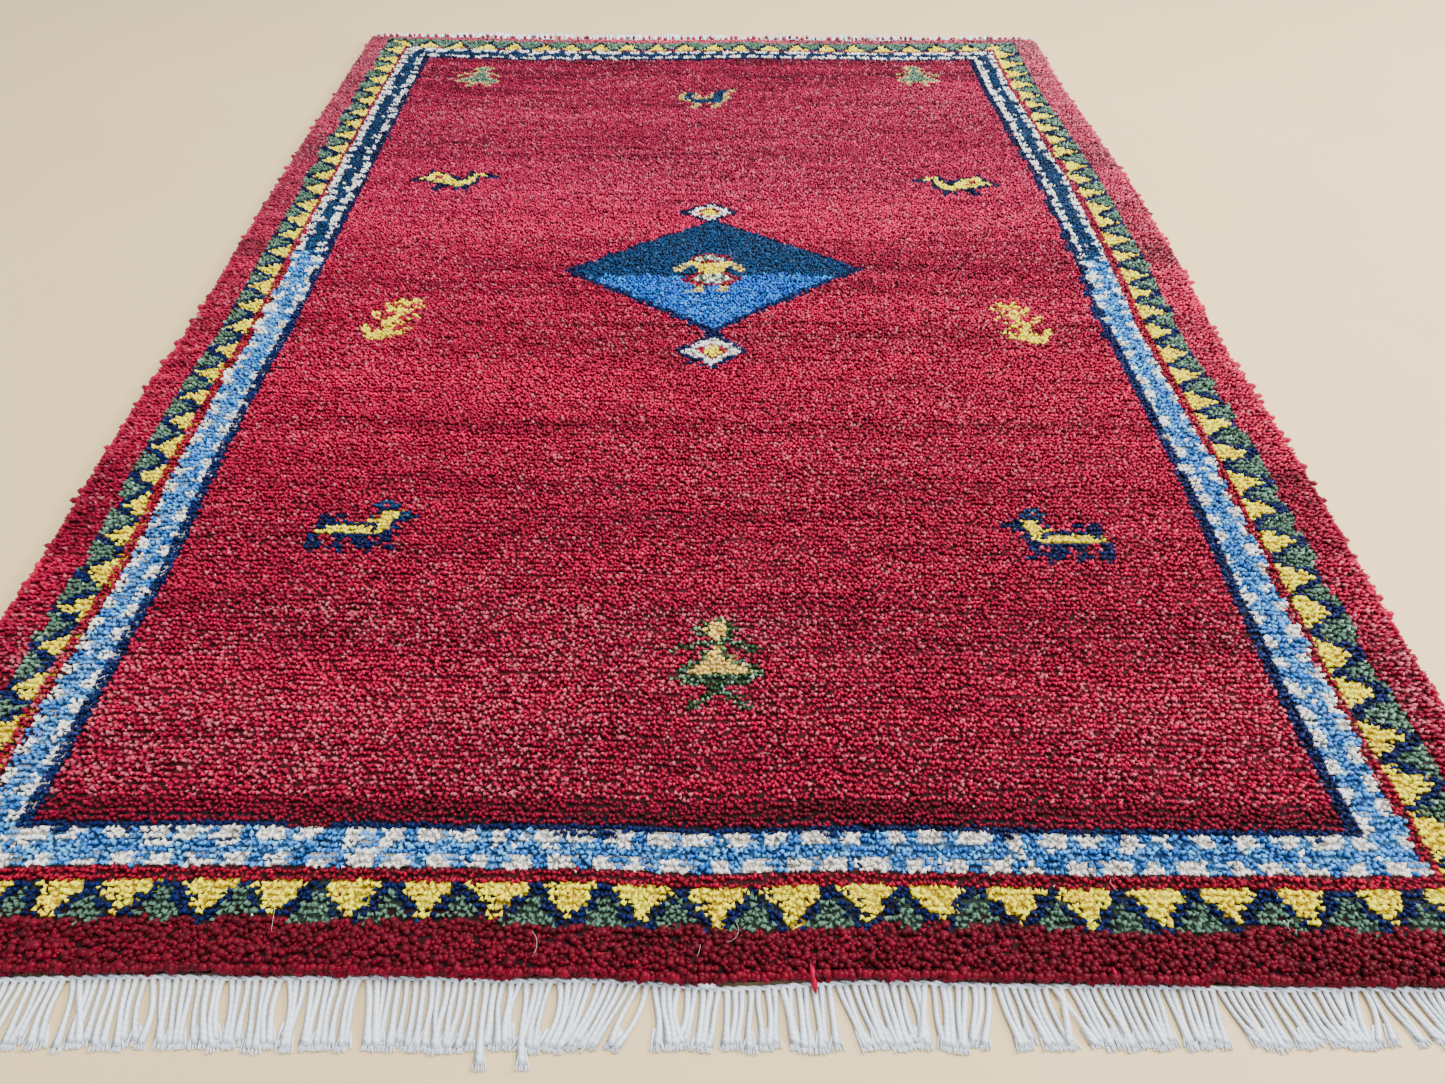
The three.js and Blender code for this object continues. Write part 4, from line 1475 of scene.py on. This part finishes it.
class GABBEH_OT_loose_wool(bpy.types.Operator):
    """Scatters the loose ends: wool tails at the near cord, lint and fine hairs on the pile"""

    bl_idname = "gabbeh.loose_wool"
    bl_label = "Scatter loose wool"

    def execute(self, context):
        chance = np.random.default_rng(44)
        points, faces = tuft_model()
        crimson = linear(context.scene.rug_dyes.field_near)
        cream = linear(context.scene.rug_dyes.cream)
        tail_x, drop, wide = np.array(WOOL_TAILS).T * MM
        edge = edge_line(-1, tail_x)
        level = np.full(len(WOOL_TAILS), MM)
        tail_top = np.stack((tail_x - 3 * MM, edge + 7 * MM, 11.5 * level), axis=1)
        tail_end = np.stack((tail_x, edge - drop, 4.5 * level), axis=1)
        curl, curl_faces = curl_model()
        dyes = np.tile(crimson, (len(WOOL_TAILS), 1))
        piece = tufts(
            "wool_tails", curl, curl_faces, curl_sheet(curl_faces), tail_top, tail_end,
            wide, np.zeros(len(wide)), dyes, dyes, chance,
        )
        finish_wool(piece)
        x = chance.uniform(-0.5, 0.5, LINT_SPECKS)
        y = -0.75 + 1.45 * chance.uniform(0, 1, LINT_SPECKS) ** 1.8
        lint_foot = np.stack((x, y, pile_top(x, y) - 0.5 * MM), axis=1)
        lint_tip = lint_foot + np.array((0, 0, 1.5 * MM))
        lint_tip = lint_tip + chance.uniform(-1, 1, (LINT_SPECKS, 3)) * MM
        lint_wide = chance.uniform(0.5, 1.1, LINT_SPECKS) * MM
        dyes = np.tile(cream, (LINT_SPECKS, 1))
        piece = tufts(
            "loose_wool", points, faces, tuft_sheet(points, faces), lint_foot, lint_tip, lint_wide,
            chance.uniform(0, math.tau, LINT_SPECKS), dyes, dyes, chance,
        )
        finish_wool(piece)
        lay_hairs(chance, cream)
        return {"FINISHED"}


def lay_hairs(chance, cream):
    """Lays fine pale hairs over the near part of the pile."""
    points, faces = strand_model(6)
    along = np.clip(points[:, 1], 0, 1)
    x = chance.uniform(-0.5, 0.5, LOOSE_HAIRS)[:, None]
    y = (-0.755 + 0.5 * chance.uniform(0, 1, LOOSE_HAIRS) ** 1.6)[:, None]
    heading = chance.uniform(0, math.tau, LOOSE_HAIRS)[:, None]
    curl = chance.uniform(-2.4, 2.4, LOOSE_HAIRS)[:, None]
    length = chance.uniform(6, 19, LOOSE_HAIRS)[:, None] * MM
    turned = heading + curl * along
    centre_x = x + length * (np.sin(turned) - np.sin(heading)) / curl
    centre_y = y - length * (np.cos(turned) - np.cos(heading)) / curl
    radius = 0.07 * MM
    placed = np.empty((LOOSE_HAIRS, len(points), 3))
    placed[..., 0] = centre_x - np.sin(turned) * points[:, 0] * radius
    placed[..., 1] = np.maximum(centre_y + np.cos(turned) * points[:, 0] * radius, -HALF_LENGTH)
    lift = 0.4 * MM + 0.5 * MM * np.sin(math.pi * along)
    placed[..., 2] = pile_top(centre_x, centre_y) + lift + points[:, 2] * radius
    dyes = np.tile(cream, (LOOSE_HAIRS, len(points), 1))
    piece = joined_copies(
        "loose_hairs", faces, placed, strip_sheet(LOOSE_HAIRS, strip_layout(points, faces)), dyes
    )
    finish_wool(piece)


# How far one twist of the end cord goes.
CORD_PITCH = 15 * MM
# How far the two plies lie from the cord's middle, in their radii, and the cord's height.
PLY_OFFSET = 0.82
CORD_HEIGHT = 2.1 * MM
# Where the cotton knot sits on the near cord, in mm.
KNOT_AT = 3.5
KNOT_SIZE = (6.5 * MM, 2.6 * MM, 1.9 * MM)


class GABBEH_OT_end_cords(bpy.types.Operator):
    """Twists the white cotton cord that closes each end of the pile"""

    bl_idname = "gabbeh.end_cords"
    bl_label = "Twist the end cords"

    def execute(self, context):
        sizes = context.scene.rug_sizes
        material = frayed_material("cord_cotton")
        span = RUG_WIDTH - 2 * CORD_END_INSET
        turns = int(span / CORD_PITCH)
        points, faces = strand_model(8, sides=5, repeats=turns)
        radius = sizes.cord_radius
        section = np.arctan2(points[:, 2], points[:, 0])[None, :]
        x = (points[:, 1] - 0.5) * span
        twist = points[None, :, 1] * turns * math.tau + np.array((0, math.pi))[:, None]
        for name, end in (("near", -1), ("far", 1)):
            line = cord_line(end, x) + end * 0.5 * MM
            height = CORD_HEIGHT + 0.2 * MM * np.sin(x / (37 * MM) + end)
            placed = np.empty((2, len(points), 3))
            placed[..., 0] = x
            placed[..., 1] = line + radius * (PLY_OFFSET * np.cos(twist) + np.cos(section))
            placed[..., 2] = height + radius * (PLY_OFFSET * np.sin(twist) + np.sin(section))
            piece = joined_copies(
                f"end_cord_{name}", faces, placed, strip_sheet(2, strip_layout(points, faces))
            )
            make_normals_outward(piece)
            finish_piece(piece, COTTON_SLOT, material, f"fringe_{name}")
        lay_cord_knot(material)
        return {"FINISHED"}


def lay_cord_knot(material):
    """The fuzzy knot of warp cotton that sits on the near cord."""
    deselect_all()
    bpy.ops.mesh.primitive_ico_sphere_add(subdivisions=3, radius=1)
    knot = name_piece("cord_knot")
    bpy.ops.object.mode_set(mode="EDIT")
    bpy.ops.mesh.select_all(action="SELECT")
    bpy.ops.transform.resize(value=KNOT_SIZE)
    bpy.ops.transform.vertex_random(offset=0.55 * MM, uniform=0.6, normal=0.4, seed=9)
    bpy.ops.transform.rotate(value=0.25, orient_axis="Z", center_override=(0, 0, 0))
    place = KNOT_AT * MM
    bpy.ops.transform.translate(value=(place, float(edge_line(-1, place)) - 1.2 * MM, 4.4 * MM))
    bpy.ops.object.mode_set(mode="OBJECT")
    bpy.ops.object.shade_smooth()
    finish_piece(knot, COTTON_SLOT, material, "fringe_near")


class GABBEH_OT_foundation(bpy.types.Operator):
    """Weaves the knotted cloth with its packed pile, one sheet with the design on its back"""

    bl_idname = "gabbeh.foundation"
    bl_label = "Weave the knotted cloth"

    def execute(self, context):
        sizes = context.scene.rug_sizes
        across, along = KNOTS_ACROSS // 2, KNOT_ROWS // 2
        deselect_all()
        bpy.ops.mesh.primitive_grid_add(x_subdivisions=across, y_subdivisions=along, size=1)
        cloth = name_piece("knotted_cloth")
        bpy.ops.transform.resize(value=(RUG_WIDTH - 3 * MM, RUG_LENGTH - 3 * MM, 1))
        bpy.ops.object.transform_apply(location=True, rotation=True, scale=True)
        solid = cloth.modifiers.new("thickness", "SOLIDIFY")
        solid.thickness = PILE_HEIGHT
        solid.offset = 1
        bpy.ops.object.modifier_apply(modifier=solid.name)
        mesh = cloth.data
        centres = np.array([p.center for p in mesh.polygons], float)
        column = 2 * ((centres[:, 0] / RUG_WIDTH + 0.5) * across).astype(int)
        column = np.clip(column, 0, KNOTS_ACROSS - 1)
        row = 2 * ((centres[:, 1] / RUG_LENGTH + 0.5) * along).astype(int)
        row = np.clip(row, 0, KNOT_ROWS - 1)
        is_back = centres[:, 2] < 0.1 * MM
        points = np.array([v.co for v in mesh.vertices], float)
        upper = points[:, 2] > PILE_HEIGHT / 2
        points[:, 0], points[:, 1] = warp(points[:, 0], points[:, 1])
        points[upper, 2] = pile_top(points[upper, 0], points[upper, 1]) - sizes.bed_drop
        from_edge = np.minimum(HALF_WIDTH - np.abs(points[:, 0]), HALF_LENGTH - np.abs(points[:, 1]))
        points[upper, 2] -= 2.2 * MM * np.exp(-((np.maximum(from_edge[upper], 0) / (5 * MM)) ** 2))
        mesh.vertices.foreach_set("co", points.astype(np.float32).ravel())
        own = knot_colours(rug_chart(), context.scene.rug_dyes)[row, column]
        # Painted shade on the bed under the tufts; the back keeps 0.85 of the knot's colour.
        dye = np.where(is_back[:, None], own * 0.85, shaded(own, 0.10, 0.62))
        layer = mesh.attributes.new("dye", "FLOAT_COLOR", "CORNER")
        full = np.ones((len(mesh.loops), 4), np.float32)
        full[:, :3] = np.repeat(dye, [p.loop_total for p in mesh.polygons], axis=0)
        layer.data.foreach_set("color", full.ravel())
        finish_piece(cloth, WOOL_SLOT, foundation_material(), "knotted_pile")
        names = [f"pile_strip_{n}" for n in range(1, PILE_STRIPS + 1)]
        names += ["guard_knots", "rim_locks", "rim_curls"]
        names += ["wool_tails", "loose_wool", "loose_hairs", "cord_knot"]
        for end in ("near", "far"):
            names += [f"end_cord_{end}", f"fringe_strands_{end}", f"fringe_wisps_{end}"]
        return {"FINISHED"}


# The studio.

CAMERA_PLACE = (0.0061, -1.0446, 0.6211)
CAMERA_PITCH = math.radians(43.53)
CAMERA_ROLL = math.radians(0.706)
CAMERA_YAW = math.radians(-0.906)
CAMERA_LENS = 27.03
SENSOR_WIDTH = 36.0


# Each light: its name, its place, the point it faces, its size and its colour.
LIGHTS = (
    ("key_light", (0.8, -0.1, 2.4), (0, -0.2, 0), (1.5, 1.5), (1, 0.985, 0.96)),
    ("side_light", (2.9, 0.5, 1.75), (0, 0, 0), (0.7, 0.7), (1, 0.98, 0.95)),
    ("back_light", (0.2, 3.4, 2.0), (0, 0.1, 0), (3.4, 1.6), (0.97, 0.985, 1)),
)


def area_light(name, place, target, size, colour, power):
    """A soft rectangular light that faces a point."""
    light = bpy.data.lights.new(name, "AREA")
    light.shape = "RECTANGLE"
    light.size, light.size_y = size
    light.energy = power
    light.color = colour
    lamp = bpy.data.objects.new(name, light)
    lamp.location = place
    lamp.rotation_euler = (Vector(target) - Vector(place)).to_track_quat("-Z", "Y").to_euler()
    bpy.context.scene.collection.objects.link(lamp)


def floor_material(colour):
    """A pale matt floor."""
    material, nodes, links, shader = new_material("pale_floor")
    shade = node(nodes, "ShaderNodeRGB")
    shade.outputs[0].default_value = (*linear(colour), 1)
    noise = object_noise(nodes, links, 3.0, 3.0)
    links.new(tinted(nodes, links, shade.outputs[0], noise, 0.97, 1.03), shader.inputs["Base Color"])
    shader.inputs["Roughness"].default_value = 0.6
    return material


class GABBEH_OT_studio(bpy.types.Operator):
    """Sets up the floor, the lights and the camera"""

    bl_idname = "gabbeh.studio"
    bl_label = "Set up the studio"

    def execute(self, context):
        studio = context.scene.studio_settings
        deselect_all()
        bpy.ops.mesh.primitive_plane_add(size=30, location=(0, 0, -0.05 * MM))
        floor = name_piece("studio_floor")
        floor.data.materials.append(floor_material(studio.floor_colour))
        powers = (studio.key_power, studio.side_power, studio.back_power)
        for light, power in zip(LIGHTS, powers):
            area_light(*light, power)
        world = bpy.data.worlds.new("studio_sky")
        world.use_nodes = True
        sky = {"Color": (0.93, 0.95, 1.0, 1), "Strength": studio.sky_strength}
        set_inputs(world.node_tree.nodes["Background"], sky)
        context.scene.world = world
        lens = bpy.data.cameras.new("studio_camera")
        lens.sensor_fit = "HORIZONTAL"
        lens.sensor_width = SENSOR_WIDTH
        lens.lens = CAMERA_LENS
        lens.clip_start, lens.clip_end = 0.01, 50
        camera = bpy.data.objects.new("studio_camera", lens)
        context.scene.collection.objects.link(camera)
        forward = Vector((0, math.cos(CAMERA_PITCH), -math.sin(CAMERA_PITCH)))
        level_up = Vector((0, math.sin(CAMERA_PITCH), math.cos(CAMERA_PITCH)))
        level_right = Vector((1, 0, 0))
        right = math.cos(CAMERA_ROLL) * level_right + math.sin(CAMERA_ROLL) * level_up
        up = math.cos(CAMERA_ROLL) * level_up - math.sin(CAMERA_ROLL) * level_right
        axes = Matrix((right, up, -forward)).transposed()
        turned = Matrix.Rotation(CAMERA_YAW, 3, "Z") @ axes
        camera.matrix_world = Matrix.Translation(CAMERA_PLACE) @ turned.to_4x4()
        context.scene.camera = camera
        return {"FINISHED"}


class GABBEH_PT_panel(bpy.types.Panel):
    """Steps and settings for the gabbeh rug"""

    bl_idname = "GABBEH_PT_panel"
    bl_label = "Gabbeh Rug"
    bl_space_type = "VIEW_3D"
    bl_region_type = "UI"
    bl_category = "Gabbeh Rug"

    def draw(self, context):
        for operator in OPERATORS:
            self.layout.operator(operator.bl_idname)
        for group in (context.scene.rug_sizes, context.scene.rug_dyes, context.scene.studio_settings):
            box = self.layout.box()
            for name in group.__annotations__:
                box.prop(group, name)


OPERATORS = (
    GABBEH_OT_pile,
    GABBEH_OT_rim,
    GABBEH_OT_fringe,
    GABBEH_OT_end_cords,
    GABBEH_OT_loose_wool,
    GABBEH_OT_foundation,
    GABBEH_OT_studio,
)
GROUPS = {"rug_sizes": RugSizes, "rug_dyes": RugDyes, "studio_settings": StudioSettings}


def register():
    for kind in (*GROUPS.values(), *OPERATORS, GABBEH_PT_panel):
        bpy.utils.register_class(kind)
    for name, group in GROUPS.items():
        setattr(bpy.types.Scene, name, PointerProperty(type=group))


def unregister():
    for name in GROUPS:
        delattr(bpy.types.Scene, name)
    for kind in reversed((*GROUPS.values(), *OPERATORS, GABBEH_PT_panel)):
        bpy.utils.unregister_class(kind)


def main():
    register()
    bpy.ops.gabbeh.pile()
    bpy.ops.gabbeh.rim()
    bpy.ops.gabbeh.fringe()
    bpy.ops.gabbeh.end_cords()
    bpy.ops.gabbeh.loose_wool()
    bpy.ops.gabbeh.foundation()
    bpy.ops.gabbeh.studio()


if __name__ == "__main__":
    main()
